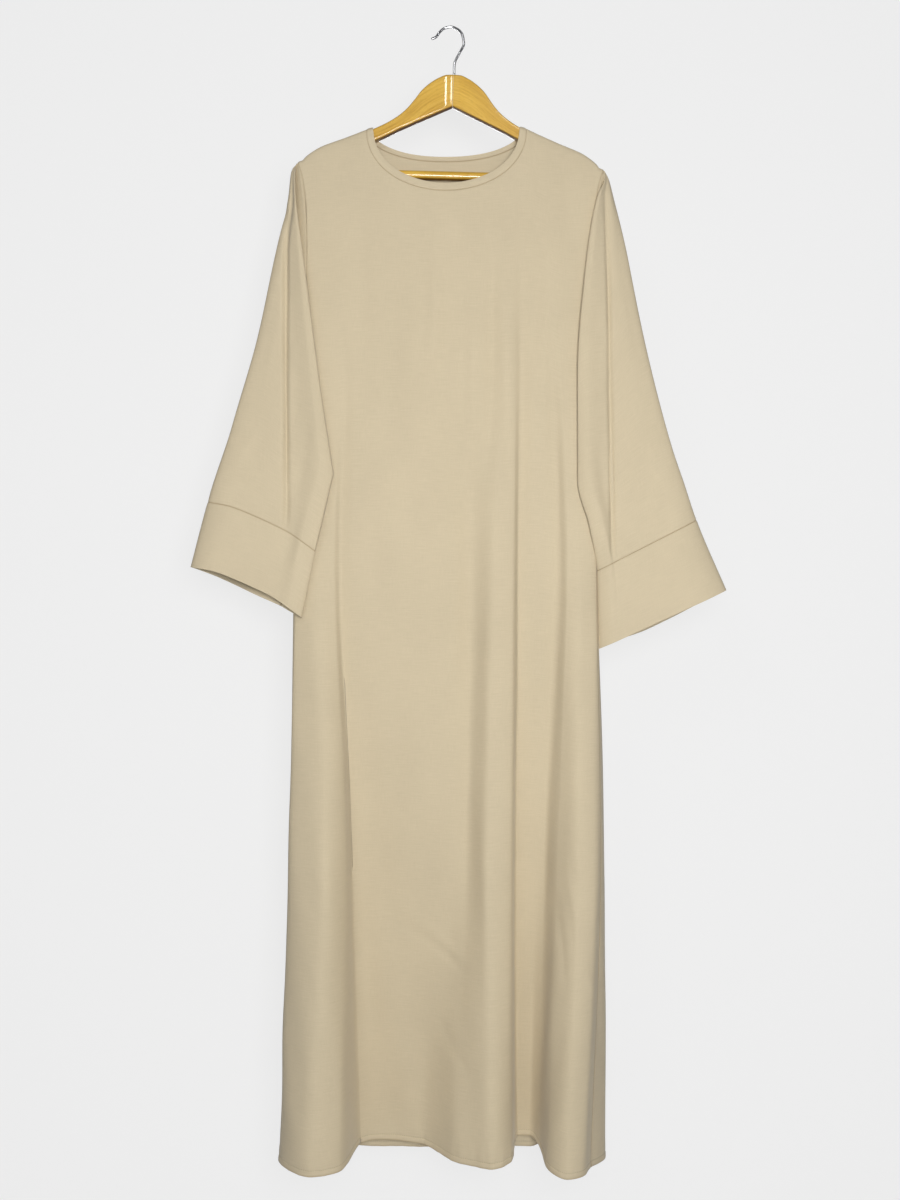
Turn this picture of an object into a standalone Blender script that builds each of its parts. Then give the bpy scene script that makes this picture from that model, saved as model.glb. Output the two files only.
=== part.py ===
"""A plain long-sleeved abaya hanging on a wooden clothes hanger, built from the pieces a maker cuts and sews.

The origin is the inside top of the hook. +X is the viewer's right, the garment's front faces -Y and +Z is up.
Sizes are in millimetres. Each cloth piece is a surface through its fold lines, thickened to a wall.
A table's depths count forwards, towards the viewer, so a depth of 10 is at Y = -10.
"""

import math
from collections import namedtuple

import bmesh
import bpy
import numpy as np
from mathutils import Matrix

MM = 0.001
CLOTH = 1.5
SEAM_GAP = 0.3
SHARPEST_BEND = 4.0

WIRE = 3.3
BAR = 12.0
BAR_ENDS = ((-173.7, -136), (173.7, -136))
ARM_DEPTH, ARM_ROUNDING, ARM_CORNER = 12.0, 3.0, math.radians(50)
HANGER_TILT = math.radians(1.5)
HANGER_TOP = (3.5, -63.9)

CHEST, ARMPIT, WAIST, KNEE, HEM = -300.0, -455.0, -709.0, -1100.0, -1525.0
NECK_CENTRE, NECK_HALF_WIDTH = -5.8, 107.8
FRONT_NECK_DROP, BACK_NECK_DROP = 84.0, 39.0
FRONT_NECK_POWERS, BACK_NECK_POWERS = (2.0, 0.455), (2.2, 0.56)
BAND_WIDTH, BAND_GAP, BAND_GAP_ON_WOOD = 10.0, 0.5, 0.6
ARM_SLOPE, WOOD_REACH, WOOD_FADE, NECK_CORNER = 0.47, 8.6, 1.5, 0.9
TIPS = {"left": -206.0, "right": 208.0}
COVER = 2.5
SHOULDER_RUN = 90.0
SIDEWAYS_BEND, MORE_BEND_OUTSIDE = 1.3, 2.7

CLOTH_COLOUR = (0.60, 0.52, 0.36, 1)
WOOD_COLOUR = (0.72, 0.42, 0.09, 1)
STEEL_COLOUR = (0.78, 0.78, 0.80, 1)

# Fold lines of the front, from the viewer's left seam to the right one: (x, depth) at each height,
# and the hem's own height last. The first and last lines are the armholes and side seams.
Fold = namedtuple("Fold", "name columns chest armpit waist knee hem bottom")
FRONT_FOLDS = (
    Fold("left seam", 2, (-193.5, 9), (-198, 0), (-211, 0), (-216, -8), (-226, -24), -1529),
    Fold("left edge", 2, (-184, 10), (-190, 8), (-207, 7), (-217, 9), (-230, 10), -1524),
    Fold("left lobe", 3, (-163, 10), (-165, 10), (-178, 11.5), (-169, 34), (-173, 60), -1526),
    Fold("left lobe side", 2, (-148, 10), (-150, 10), (-158, 10), (-146, 12), (-127, 14), -1521),
    Fold("left valley", 5, (-135, 10), (-138, 10), (-149, 5), (-138, -13), (-121, -41), -1523),
    Fold("broad fold left", 4, (-95, 10), (-98, 10), (-101, 7), (-100, -10), (-86, -45), -1521),
    Fold("broad fold right", 3, (-25, 11), (-20, 11), (-15, 6), (-15, -7), (-26, -38), -1522),
    Fold("soft valley", 3, (40, 11), (42, 11), (43, 8), (34, 4), (10, 4), -1525),
    Fold("centre lobe", 2, (66, 12), (67, 12), (69, 14), (64, 30), (49, 50), -1521),
    Fold("centre lobe side", 2, (84, 11), (86, 11), (87, 10), (84, 10), (86, 12), -1520),
    Fold("recess left", 2, (95, 10), (95, 10), (95, 3), (93, -12), (95, -40), -1512),
    Fold("recess right", 5, (109, 10), (109, 10), (109, 3), (110, -12), (110, -40), -1512),
    Fold("right lobe side", 4, (133, 10), (134, 10), (133, 7), (130, 8), (116, 8), -1521),
    Fold("right lobe", 3, (163, 10), (165, 10), (171, 13), (171, 34), (151, 62), -1528),
    Fold("right lobe edge", 2, (184, 10), (187, 9), (187, 8), (189, 24), (175, 44), -1528),
    Fold("right seam", 1, (193.5, 9), (197, 2), (195, 2), (200, 10), (185, 22), -1528),
)
BACK_FOLDS = (
    Fold("left seam", 2, (-193.5, -9), (-198, 0), (-211, 0), (-216, -8), (-226, -24), -1529),
    Fold("left edge", 3, (-183, -9), (-188, -8), (-203, -12), (-209, -27), (-213, -60), -1531),
    Fold("lobe 1", 3, (-150, -10), (-156, -11), (-165, -16), (-172, -44), (-175, -98), -1533),
    Fold("valley 1", 5, (-120, -10), (-121, -10), (-122, -12), (-124, -28), (-124, -60), -1536),
    Fold("flat", 4, (-65, -10), (-65, -10), (-65, -12), (-68, -28), (-72, -60), -1537),
    Fold("valley 2", 4, (-22, -10), (-22, -10), (-23, -12), (-24, -28), (-26, -58), -1537),
    Fold("lobe 2", 3, (26, -10), (27, -11), (29, -17), (33, -48), (37, -100), -1534),
    Fold("valley 3", 2, (78, -10), (78, -10), (79, -13), (82, -30), (84, -60), -1536),
    Fold("recess", 4, (108, -10), (108, -10), (109, -12), (111, -28), (112, -58), -1536),
    Fold("lobe 3", 2, (143, -10), (146, -11), (150, -15), (153, -42), (155, -92), -1534),
    Fold("right edge", 2, (178, -10), (184, -9), (189, -10), (199, -28), (203, -58), -1533),
    Fold("right turn", 2, (190, -9.5), (194, -5), (197, -4), (208, -9), (212, -18), -1532),
    Fold("right seam", 1, (193.5, -9), (197, 2), (195, 2), (200, 10), (185, 22), -1528),
)
NECK_FOLDS = {"front": (4, 12), "back": (3, 9)}

# How far the cloth stands forward of the seam at each drop below the shoulder line.
OVER_ARM = ((0, 0.6), (0.4, 4.2), (2.4, 7.2), (6.5, 8.4), (14, 9.0), (60, 10.0))
TOP_ROWS = (0, 0.4, 2.4, 6.5)
TOP_SHARES = (0.2, 0.45, 0.72)
ARMHOLE_ROWS_BELOW_CHEST, LOWER_ROWS = 3, 13

# Sections down a sleeve. seam, fold and outer are (x, z, depth); above the armpit the seam is the armhole.
Section = namedtuple("Section", "name at seam turn fold outer valley crown back bow")
RIGHT_SLEEVE = (
    Section("tip", 0, (-207, -187, 1), (-208, 2), (-209, -188, 2.5),
            (-211, -187, 0), (0.5, 0.2), (2, 1.5), (-2, -1.5), 0),
    Section("upper", 1, (-198, -232, 9), (-204.5, 0), (-208, -233, 14),
            (-219.5, -230, 1), (0.5, 1), (15, 8), (-10, -7), 0),
    Section("chest", 2, (-193.5, -300, 9), (-197.5, 5), (-196.5, -304, 17),
            (-233, -292, 2), (0.6, 4), (20, 14), (-10, -10), 1),
    Section("armpit", 3, (-199, -456, 0), (-203, 11), (-181, -473, 19),
            (-262, -427, 5), (0.48, 6), (24, 20), (-4, -10), 3),
    Section("elbow", 4, (-208, -575, 14), (-196, 14.5), (-157, -603, 19),
            (-295, -544, 8), (0.43, 8), (26, 24), (12, -10), 6),
    Section("cuff seam", 5, (-216, -690, 12), (-203, 15.5), (-181, -707, 20),
            (-326, -641, 8), (0.25, 7), (26, 27), (8, -14), 12),
    Section("cuff edge", 6, (-228, -780, 8), (-215, 12), (-200, -795, 17),
            (-349, -728, 8), (0.27, 3), (25, 30), (3, -18), 13),
)
LEFT_SLEEVE = (
    Section("tip", 0, (209, -198, 1), (210, 2), (211, -199, 2.5),
            (213, -198, 0), (0.5, 0.2), (2, 1.5), (-2, -1.5), 0),
    Section("upper", 1, (198, -232, 9), (200, 4), (196, -232, 15),
            (219, -230, 1), (0.5, 2), (17, 9), (-10, -7), 0),
    Section("chest", 2, (193.5, -300, 9), (199, 12), (183, -304, 18),
            (234, -292, 2), (0.47, 4), (22, 14), (-10, -10), 0),
    Section("armpit", 3, (198, -456, 2), (203, 12), (169, -473, 19),
            (261, -427, 4), (0.47, 5), (24, 20), (-4, -10), 0),
    Section("elbow", 4, (207, -590, 12), (196, 13), (169, -612, 17),
            (296, -564, 7), (0.35, 6), (24, 22), (11, -11), 0),
    Section("lower", 4.5, (210, -655, 9), (203, 12), (185, -672, 16),
            (313, -615, 7), (0.27, 6), (22, 23), (7, -12), 0),
    Section("cuff seam", 5, (219, -722, -3), (209, -3), (200, -733, 3),
            (330, -665, 6), (0.18, 6), (14, 24), (-6, -14), 0),
    Section("cuff edge", 6, (229, -825, -6), (214, -6), (202.5, -838, 1),
            (370, -759, 6), (0.2, 3), (13, 27), (-9, -18), 0),
)
SLEEVE_SPANS = (1, 2, 1, 4, 5, 2, 2, 5, 3)
SLEEVE_ROWS_BELOW = 7
CUFF_ROWS = 3
SEAM_LEVEL, CUFF_LEVEL, CUFF_LENGTH = 3, 5, 90.0
CROWN_SHARES = (0.12, 0.8)
BACK_SHARES = (0.6, 0.35)
BACK_BOW_DROP = 6.0

# Half the hanger's outline from its top centre: (distance out, height).
ARM_TOP = ((0, 0), (9, -0.8), (20, -5.4), (31, -12.5), (42, -22.5), (52, -36), (60, -46), (70, -55.5),
           (85, -64.5), (106, -74.5), (120, -81), (140, -89.5), (160, -98), (180, -107.5), (192, -115),
           (199.5, -124), (202, -134))
ARM_BOTTOM = ((199, -145), (194, -148), (174, -148), (174, -126), (166, -122), (100, -89.5), (0, -43))

# The wire's middle (x, height), from the wood up the stem and round to the tip.
HOOK = ((4.5, -63.4), (4.5, -55), (5.2, -47), (12, -33), (17.6, -21), (15.5, -9), (9, -1.5), (0, 1.65),
        (-9, -0.5), (-15.5, -6), (-20, -12), (-26.5, -15))
HOOK_POINTS = 34


def smooth(knots, values, at):
    """A curve through the values at the knots, read at each place in at, level at each local high and low."""
    knots, values, at = (np.asarray(x, float) for x in (knots, values, at))
    step, tall = np.diff(knots), (-1,) + (1,) * (values.ndim - 1)
    slope = np.diff(values, axis=0) / step.reshape(tall)
    before, after = slope[:-1], slope[1:]
    same = before * after > 0
    inner = np.where(same, 2 * before * after / np.where(same, before + after, 1), 0)
    tangent = np.concatenate([slope[:1], inner, slope[-1:]])
    span = np.clip(np.searchsorted(knots, at, side="right") - 1, 0, len(step) - 1)
    t, width = ((at - knots[span]) / step[span]).reshape(tall), step[span].reshape(tall)
    ends = values[span] * (1 + 2 * t) * (1 - t) ** 2 + values[span + 1] * t * t * (3 - 2 * t)
    return ends + width * (tangent[span] * t * (1 - t) ** 2 - tangent[span + 1] * t * t * (1 - t))


def tilted(points):
    """Points (x, z) of the hanger, given from its top centre, turned by its tilt and put in place."""
    x, z = np.asarray(points, float).T
    c, s = math.cos(HANGER_TILT), math.sin(HANGER_TILT)
    return np.stack([HANGER_TOP[0] + x * c + z * s, HANGER_TOP[1] - x * s + z * c], 1)


def shoulder_height(x):
    """Height of the cloth's middle where it lies over the hanger, at each x."""
    top = np.array(ARM_TOP[:-1])
    outline = np.concatenate([tilted(top * [-1, 1])[:0:-1], tilted(top)])
    return np.interp(x, outline[:, 0], outline[:, 1]) + COVER


def fold_columns(folds):
    """Places of the columns, counted in folds; they gather towards both neck points."""
    places, neck = [], NECK_FOLDS["front" if folds is FRONT_FOLDS else "back"]
    for index, fold in enumerate(folds[:-1]):
        share = np.arange(fold.columns) / fold.columns
        if index == neck[0]:
            share = share**2
        if index == neck[1] - 1:
            share = 1 - (1 - share) ** 2
        places.append(index + share)
    return np.concatenate(places + [[len(folds) - 1]])


def neckline(folds, chest_x):
    """(x, z) of a panel's top edge: along each shoulder, and a drop of (1 - t^p)^q round the neck."""
    front = folds is FRONT_FOLDS
    first, last = (folds[i].chest[0] for i in NECK_FOLDS["front" if front else "back"])
    t = -np.cos(np.pi * np.clip((chest_x - first) / (last - first), 0, 1))
    deepest = FRONT_NECK_DROP if front else BACK_NECK_DROP
    inner, outer = FRONT_NECK_POWERS if front else BACK_NECK_POWERS
    drop = deepest * (1 - np.abs(t) ** inner) ** outer
    left, right = chest_x < first, chest_x > last
    x = NECK_CENTRE + NECK_HALF_WIDTH * t
    x[left] += (TIPS["left"] - x[left]) * (first - chest_x[left]) / (first - chest_x[0])
    x[right] += (TIPS["right"] - x[right]) * (chest_x[right] - last) / (chest_x[-1] - last)
    start = np.interp(t, (-1, 1), shoulder_height(NECK_CENTRE + NECK_HALF_WIDTH * np.array([-1, 1])))
    return x, np.where(left | right, shoulder_height(x), start - drop)


def panel(folds):
    """Rows of points down a panel: from its top edge to the chest, then through the fold lines to the hem."""
    front = folds is FRONT_FOLDS
    places = fold_columns(folds)
    heights = [CHEST, ARMPIT, WAIST, KNEE, HEM]
    other = BACK_FOLDS if front else FRONT_FOLDS
    round_body = (other[1],) + folds + (other[-2],)
    lines = np.array([[f.chest, f.armpit, f.waist, f.knee, f.hem] for f in round_body], float)
    upper = np.linspace(CHEST, ARMPIT, ARMHOLE_ROWS_BELOW_CHEST + 1)
    lower = np.linspace(ARMPIT, HEM, LOWER_ROWS + 1)[1:]
    below = np.concatenate([upper, lower])
    at_rows = smooth(heights[::-1], lines.transpose(1, 0, 2)[::-1], below)
    across = smooth(range(-1, len(folds) + 1), at_rows.transpose(1, 0, 2), places).transpose(1, 0, 2)
    bottom = smooth(range(-1, len(folds) + 1), [f.bottom for f in round_body], places)
    z = CHEST + (below[:, None] - CHEST) * (bottom - CHEST) / (HEM - CHEST)
    z = np.where(below[:, None] >= ARMPIT, below[:, None], z)
    body = np.stack([across[..., 0], -across[..., 1], z], -1)

    chest_x = body[0, :, 0]
    top_x, top_z = neckline(folds, chest_x)
    room = top_z - CHEST - TOP_ROWS[-1]
    drops = [np.full_like(top_z, d) for d in TOP_ROWS] + [TOP_ROWS[-1] + room * s for s in TOP_SHARES]
    drops = np.array(drops)
    share = drops / (top_z - CHEST)
    sideways = np.clip((np.abs(top_x - NECK_CENTRE) - NECK_HALF_WIDTH) / SHOULDER_RUN, 0, 1)
    x = chest_x + (top_x - chest_x) * (1 - share) ** (SIDEWAYS_BEND + MORE_BEND_OUTSIDE * sideways)
    z = top_z - drops
    below_arm, stand = zip(*OVER_ARM)
    below = np.clip(shoulder_height(top_x) - z, 0, below_arm[-1])
    depth = smooth(below_arm, stand, below.ravel()).reshape(z.shape)
    depth = depth + share * (np.abs(body[0, :, 1]) - stand[-1])
    top = np.stack([x, -depth if front else depth, z], -1)
    return np.concatenate([top, body])


def draw_back(points, column, beyond):
    """Shortens the sheet at its first or last column, so its wall stays a seam's gap from the one beyond it.

    beyond holds the next points past the seam. Where the two walls meet at an angle t, each is shortened
    by half the gap and half the wall times tan(t / 2), which parts their inner corners.
    """
    edge, inner = points[:, column], points[:, column + (1 if column == 0 else -1)]
    own, far = inner - edge, beyond - edge
    own /= np.linalg.norm(own, axis=1, keepdims=True)
    far /= np.linalg.norm(far, axis=1, keepdims=True)
    bend = np.linalg.norm(own + far, axis=1) / np.linalg.norm(own - far, axis=1).clip(1e-3)
    amount = SEAM_GAP / 2 + CLOTH / 2 * np.minimum(bend, SHARPEST_BEND)
    return edge + own * amount[:, None]


def section_points(section):
    """A section's points in turn: armhole, turn, fold, front layer and valley, outer edge, back layer."""
    fold, outer = np.array(section.fold, float), np.array(section.outer, float)
    valley, drop = section.valley
    seam, side = section.seam, -1 if section.at < SEAM_LEVEL else 1
    near, far = CROWN_SHARES

    def at(share, depth, bow):
        x, z, _ = fold + share * (outer - fold)
        return (x, -depth, z + bow * 4 * share * (1 - share))

    back_bow = section.bow - BACK_BOW_DROP * min(1, section.bow)
    return np.array([
        (seam[0], -seam[2], seam[1]),
        (section.turn[0], -section.turn[1], seam[1] + (fold[1] - seam[1]) / 2),
        (fold[0], -fold[2], fold[1]),
        at(near, section.crown[0], section.bow),
        at(valley, np.mean(section.crown) - drop, section.bow),
        at(far, section.crown[1], section.bow),
        (outer[0], -outer[2], outer[1]),
        at(far, section.back[1], back_bow),
        at(BACK_SHARES[section.at > SEAM_LEVEL], section.back[0], back_bow),
        (seam[0], -seam[2] * side, seam[1]),
    ])


def sleeve(sections, front_edge, back_edge):
    """(sleeve, cuff) rows of points from the sections; the sleeve's upper edges follow the armhole."""
    levels = [section.at for section in sections]
    rounds = np.array([section_points(section) for section in sections])
    above = [s for s in sections if s.at <= SEAM_LEVEL]
    armhole = np.interp(-front_edge[:, 2], [-s.seam[1] for s in above], [s.at for s in above])
    gap = SEAM_GAP / 2 / CUFF_LENGTH
    rows = np.concatenate([armhole[:-1], np.linspace(SEAM_LEVEL, CUFF_LEVEL - gap, SLEEVE_ROWS_BELOW + 1)])
    cuff_rows = np.linspace(CUFF_LEVEL + gap, CUFF_LEVEL + 1, CUFF_ROWS + 1)
    spans = [i + np.arange(n) / n for i, n in enumerate(SLEEVE_SPANS)]
    places = np.concatenate(spans + [[len(SLEEVE_SPANS)]])
    made = []
    for levels_wanted in (rows, cuff_rows):
        down = smooth(levels, rounds, levels_wanted)
        grid = smooth(range(rounds.shape[1]), down.transpose(1, 0, 2), places).transpose(1, 0, 2)
        made.append(grid)
    grid, cuff = made
    count = len(armhole) - 1
    grid[:count, 0], grid[:count, -1] = front_edge[:count], back_edge[:count]
    return grid, cuff


def material(name, colour, roughness, metallic=0.0):
    made = bpy.data.materials.new(name)
    made.use_nodes = True
    shader = made.node_tree.nodes["Principled BSDF"]
    shader.inputs["Base Color"].default_value = colour
    shader.inputs["Roughness"].default_value = roughness
    shader.inputs["Metallic"].default_value = metallic
    return made


def add_object(name, mesh, finish):
    obj = bpy.data.objects.new(name, mesh)
    mesh.materials.append(finish)
    collection.objects.link(obj)
    return obj


def cloth(name, points, finish, ring=False, outwards=1):
    """A wall of cloth whose middle is the grid of points; a ring joins its last column to its first."""
    rows, columns = points.shape[:2]
    corner = np.arange(rows * columns).reshape(rows, columns)
    if ring:
        corner = np.concatenate([corner, corner[:, :1]], 1)
    quads = np.stack([corner[:-1, :-1], corner[1:, :-1], corner[1:, 1:], corner[:-1, 1:]], -1).reshape(-1, 4)
    mesh = bpy.data.meshes.new(name)
    mesh.from_pydata((points.reshape(-1, 3) * MM).tolist(), [], quads[:, ::outwards].tolist())
    mesh.shade_smooth()
    obj = add_object(name, mesh, finish)
    wall = obj.modifiers.new("wall", "SOLIDIFY")
    wall.thickness, wall.offset = CLOTH * MM, 0
    return obj


def neckband(front, back, finish):
    """A folded band that carries the panels' surface on from the neckline, one ring over both shoulders."""
    edges, downs = [], []
    for folds, grid in ((FRONT_FOLDS, front), (BACK_FOLDS, back)):
        first, last = NECK_FOLDS["front" if folds is FRONT_FOLDS else "back"]
        places = fold_columns(folds)
        neck = (places >= first) & (places <= last)
        edges.append(grid[0, neck])
        downs.append(grid[1, neck] - grid[0, neck])
    edge = np.concatenate([edges[0], edges[1][::-1]])
    down = np.concatenate([downs[0], downs[1][::-1]])
    along = np.roll(edge, -1, 0) - np.roll(edge, 1, 0)
    along /= np.linalg.norm(along, axis=1, keepdims=True)
    down /= np.linalg.norm(down, axis=1, keepdims=True)
    out = (edge[:, :1] - NECK_CENTRE) / NECK_HALF_WIDTH
    way = (down * along).sum(1, keepdims=True) * along - down
    up_slope = np.abs(out) * (0, 0, ARM_SLOPE) - np.sign(out) * (1, 0, 0)
    near_wood = (WOOD_REACH - np.abs(edge[:, 1:2])) / WOOD_FADE
    on_wood = np.clip(near_wood, 0, 1) * (np.abs(out) > NECK_CORNER)
    way = way / np.linalg.norm(way, axis=1, keepdims=True).clip(0.05) * (1 - on_wood) + up_slope * on_wood
    way /= np.linalg.norm(way, axis=1, keepdims=True)
    start = BAND_GAP + BAND_GAP_ON_WOOD * on_wood
    rows = edge + (start + np.linspace(0, 1, 3)[:, None, None] * (BAND_WIDTH - start)) * way
    return cloth("neckband", rows, finish, ring=True, outwards=-1)


def hanger_arm(name, side, finish):
    """Half the wooden body: its outline, turned by the tilt, extruded to its depth with rounded edges."""
    outline = np.array(ARM_TOP + ARM_BOTTOM, float)
    outline[outline[:, 0] == 0, 0] = SEAM_GAP / 2
    outline = tilted(outline * [side, 1]) * MM
    curve = bpy.data.curves.new(name, "CURVE")
    curve.dimensions, curve.fill_mode = "2D", "BOTH"
    spline = curve.splines.new("POLY")
    spline.points.add(len(outline) - 1)
    flat = np.column_stack([outline, np.zeros(len(outline)), np.ones(len(outline))])
    spline.points.foreach_set("co", flat.ravel())
    spline.use_cyclic_u = True
    curve.extrude = ARM_DEPTH / 2 * MM
    guide = bpy.data.objects.new(name + "_curve", curve)
    collection.objects.link(guide)
    mesh = bpy.data.meshes.new_from_object(guide.evaluated_get(bpy.context.evaluated_depsgraph_get()))
    bpy.data.objects.remove(guide)
    shape = bmesh.new()
    shape.from_mesh(mesh)
    bmesh.ops.remove_doubles(shape, verts=shape.verts, dist=1e-6)
    bmesh.ops.dissolve_limit(shape, angle_limit=0.01, verts=shape.verts, edges=shape.edges)
    bmesh.ops.rotate(shape, verts=shape.verts, matrix=Matrix.Rotation(math.pi / 2, 3, "X"))
    bmesh.ops.recalc_face_normals(shape, faces=shape.faces)
    shape.to_mesh(mesh)
    shape.free()
    obj = add_object(name, mesh, finish)
    rounded = obj.modifiers.new("rounded", "BEVEL")
    rounded.width, rounded.segments = ARM_ROUNDING * MM, 2
    rounded.limit_method, rounded.angle_limit = "ANGLE", ARM_CORNER
    return obj


def tube(name, points, radius, finish, resolution):
    curve = bpy.data.curves.new(name, "CURVE")
    curve.dimensions, curve.bevel_depth, curve.bevel_resolution = "3D", radius * MM, resolution
    curve.use_fill_caps = True
    spline = curve.splines.new("POLY")
    spline.points.add(len(points) - 1)
    spline.points.foreach_set("co", np.column_stack([np.array(points) * MM, np.ones(len(points))]).ravel())
    return add_object(name, curve, finish)


def hook_line():
    """The wire's middle: up the stem, right, over the top and out at the tip."""
    x, z = smooth(range(len(HOOK)), HOOK, np.linspace(0, len(HOOK) - 1, HOOK_POINTS)).T
    return np.stack([x, 0 * x, z], 1)


for old in list(bpy.data.objects):
    bpy.data.objects.remove(old)
collection = bpy.data.collections.new("abaya_on_hanger")
bpy.context.scene.collection.children.link(collection)

fabric = material("beige_crepe", CLOTH_COLOUR, 0.85)
wood = material("varnished_wood", WOOD_COLOUR, 0.35)
steel = material("bright_wire", STEEL_COLOUR, 0.2, 1.0)

front_points, back_points = panel(FRONT_FOLDS), panel(BACK_FOLDS)
hole = len(TOP_ROWS) + len(TOP_SHARES) + ARMHOLE_ROWS_BELOW_CHEST
front_cut, back_cut = front_points.copy(), back_points.copy()
for side, sections, edge, inner in (("right", RIGHT_SLEEVE, 0, 1), ("left", LEFT_SLEEVE, -1, -2)):
    upper, cuff = sleeve(sections, front_points[:hole + 1, edge], back_points[:hole + 1, edge])
    beyond_front, beyond_back = back_points[:, inner].copy(), front_points[:, inner].copy()
    beyond_front[:hole], beyond_back[:hole] = upper[:hole, 1], upper[:hole, -2]
    front_cut[:, edge] = draw_back(front_points, edge, beyond_front)
    back_cut[:, edge] = draw_back(back_points, edge, beyond_back)
    beyond_first, beyond_last = upper[:, -2].copy(), upper[:, 1].copy()
    beyond_first[:hole] = front_points[:hole, inner]
    beyond_last[:hole] = back_points[:hole, inner]
    drawn = draw_back(upper, 0, beyond_first), draw_back(upper, -1, beyond_last)
    upper[:, 0], upper[:, -1] = drawn
    drawn = draw_back(cuff, 0, cuff[:, -2]), draw_back(cuff, -1, cuff[:, 1])
    cuff[:, 0], cuff[:, -1] = drawn
    cloth("sleeve_" + side, upper, fabric, outwards=-1 if side == "right" else 1)
    cloth("cuff_" + side, cuff, fabric, outwards=-1 if side == "right" else 1)
cloth("front_panel", front_cut, fabric)
cloth("back_panel", back_cut, fabric, outwards=-1)
neckband(front_points, back_points, fabric)

hanger_arm("hanger_arm_left", -1, wood)
hanger_arm("hanger_arm_right", 1, wood)
tube("hanger_bar", [(x, 0, z) for x, z in tilted(BAR_ENDS)], BAR / 2, wood, 4)
tube("hanger_hook", hook_line(), WIRE / 2, steel, 2)
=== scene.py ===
"""A long beige crepe abaya hanging on a varnished wooden hanger.

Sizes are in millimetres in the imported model's frame: the origin is the inside top of the hook, +X is the
viewer's right, the garment's front faces -Y and +Z is up. A depth counts forwards, towards the viewer.
"""

import math
from collections import namedtuple
from functools import partial

import bpy
import numpy as np
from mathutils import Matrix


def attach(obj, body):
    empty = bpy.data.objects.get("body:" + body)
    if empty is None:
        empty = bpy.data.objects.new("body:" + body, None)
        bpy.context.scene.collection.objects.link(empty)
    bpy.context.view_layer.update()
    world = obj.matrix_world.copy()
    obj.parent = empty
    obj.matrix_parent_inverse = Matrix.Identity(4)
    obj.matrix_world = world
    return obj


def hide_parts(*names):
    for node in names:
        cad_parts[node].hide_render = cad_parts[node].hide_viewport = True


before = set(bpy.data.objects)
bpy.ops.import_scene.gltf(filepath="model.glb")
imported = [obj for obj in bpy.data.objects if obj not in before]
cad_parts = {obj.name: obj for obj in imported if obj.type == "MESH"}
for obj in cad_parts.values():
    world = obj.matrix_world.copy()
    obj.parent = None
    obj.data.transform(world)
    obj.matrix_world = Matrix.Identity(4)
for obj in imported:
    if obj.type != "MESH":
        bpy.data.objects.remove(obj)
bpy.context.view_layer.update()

# The hanger's two arms. Each is sawn from a pale hardwood to a swan-necked curve, rounded over on its long
# edges, mitred to the other in the middle and dipped in a clear golden varnish.
MM = 0.001
HANGER_TOP, HANGER_TILT = (3.5, -63.9), math.radians(1.5)
ARM_DEPTH, ARM_ROUNDING, MITRE_GAP = 12.0, 3.0, 0.15
MITRE_DIP, MITRE_REACH = 1.0, 8.0
ARM_ROWS, CORNER_POINTS, PAST_CORNER = 140, 8, 0.25
# Painted shade: where the wood faces down more steeply than these give, its colour is darkened to brown.
UNDERSIDE_SHADE_FROM, UNDERSIDE_SHADE_BLEND = 0.62, 0.25
BACK_GRAIN_APART = 60
SHARP = math.radians(60)
# Stations along an arm, from its top centre: top edge (x, z), then bottom edge (x, z).
ARM_STATIONS = (
    ((0, 0), (0, -43)), ((9, -0.8), (8, -46.7)), ((20, -5.4), (17, -50.9)), ((31, -12.5), (27, -55.6)),
    ((42, -22.5), (37, -60.2)), ((52, -36), (48, -65.3)), ((60, -46), (58, -70)), ((70, -55.5), (70, -75.6)),
    ((85, -65.8), (86, -84)), ((106, -76.5), (108, -94.8)), ((140, -91), (140, -110.3)),
    ((180, -107.5), (172, -126)), ((199.5, -124), (192, -147)), ((202, -134), (198, -146)),
)


def smooth(knots, values, at):
    """A cubic through the values at the knots, read at each place in at and level at each high and low."""
    knots, values, at = (np.asarray(x, float) for x in (knots, values, at))
    step, tall = np.diff(knots), (-1,) + (1,) * (values.ndim - 1)
    slope = np.diff(values, axis=0) / step.reshape(tall)
    before, after = slope[:-1], slope[1:]
    same = before * after > 0
    inner = np.where(same, 2 * before * after / np.where(same, before + after, 1), 0)
    tangent = np.concatenate([slope[:1], inner, slope[-1:]])
    span = np.clip(np.searchsorted(knots, at, side="right") - 1, 0, len(step) - 1)
    t, width = ((at - knots[span]) / step[span]).reshape(tall), step[span].reshape(tall)
    ends = values[span] * (1 + 2 * t) * (1 - t) ** 2 + values[span + 1] * t * t * (3 - 2 * t)
    return ends + width * (tangent[span] * t * (1 - t) ** 2 - tangent[span + 1] * t * t * (1 - t))


def grown(distance, length):
    """0 up to no distance, and evenly up to 1 at the length and past it."""
    return np.clip(distance / length, 0, 1)


def unit(vectors, least=1e-9):
    """Vectors brought to a length of 1; those shorter than least stay shorter than 1."""
    return vectors / np.linalg.norm(vectors, axis=-1, keepdims=True).clip(least)


def tilted(points):
    """Points (x, z) given from the hanger's top centre, turned by its tilt and put in place."""
    x, z = np.moveaxis(np.asarray(points, float), -1, 0)
    c, s = math.cos(HANGER_TILT), math.sin(HANGER_TILT)
    return np.stack([HANGER_TOP[0] + x * c + z * s, HANGER_TOP[1] - x * s + z * c], -1)


def run_along(points, axis):
    """Distance walked over a grid of points along one axis, from its first row or column."""
    steps = np.linalg.norm(np.diff(points, axis=axis), axis=-1)
    return np.concatenate([np.zeros_like(np.take(steps, [0], axis)), np.cumsum(steps, axis)], axis)


def placed(name, data, at=(0, 0, 0)):
    """A new object in the scene that holds the data, at a place in millimetres."""
    made = bpy.data.objects.new(name, data)
    made.location = [c * MM for c in at]
    bpy.context.scene.collection.objects.link(made)
    return made


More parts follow.
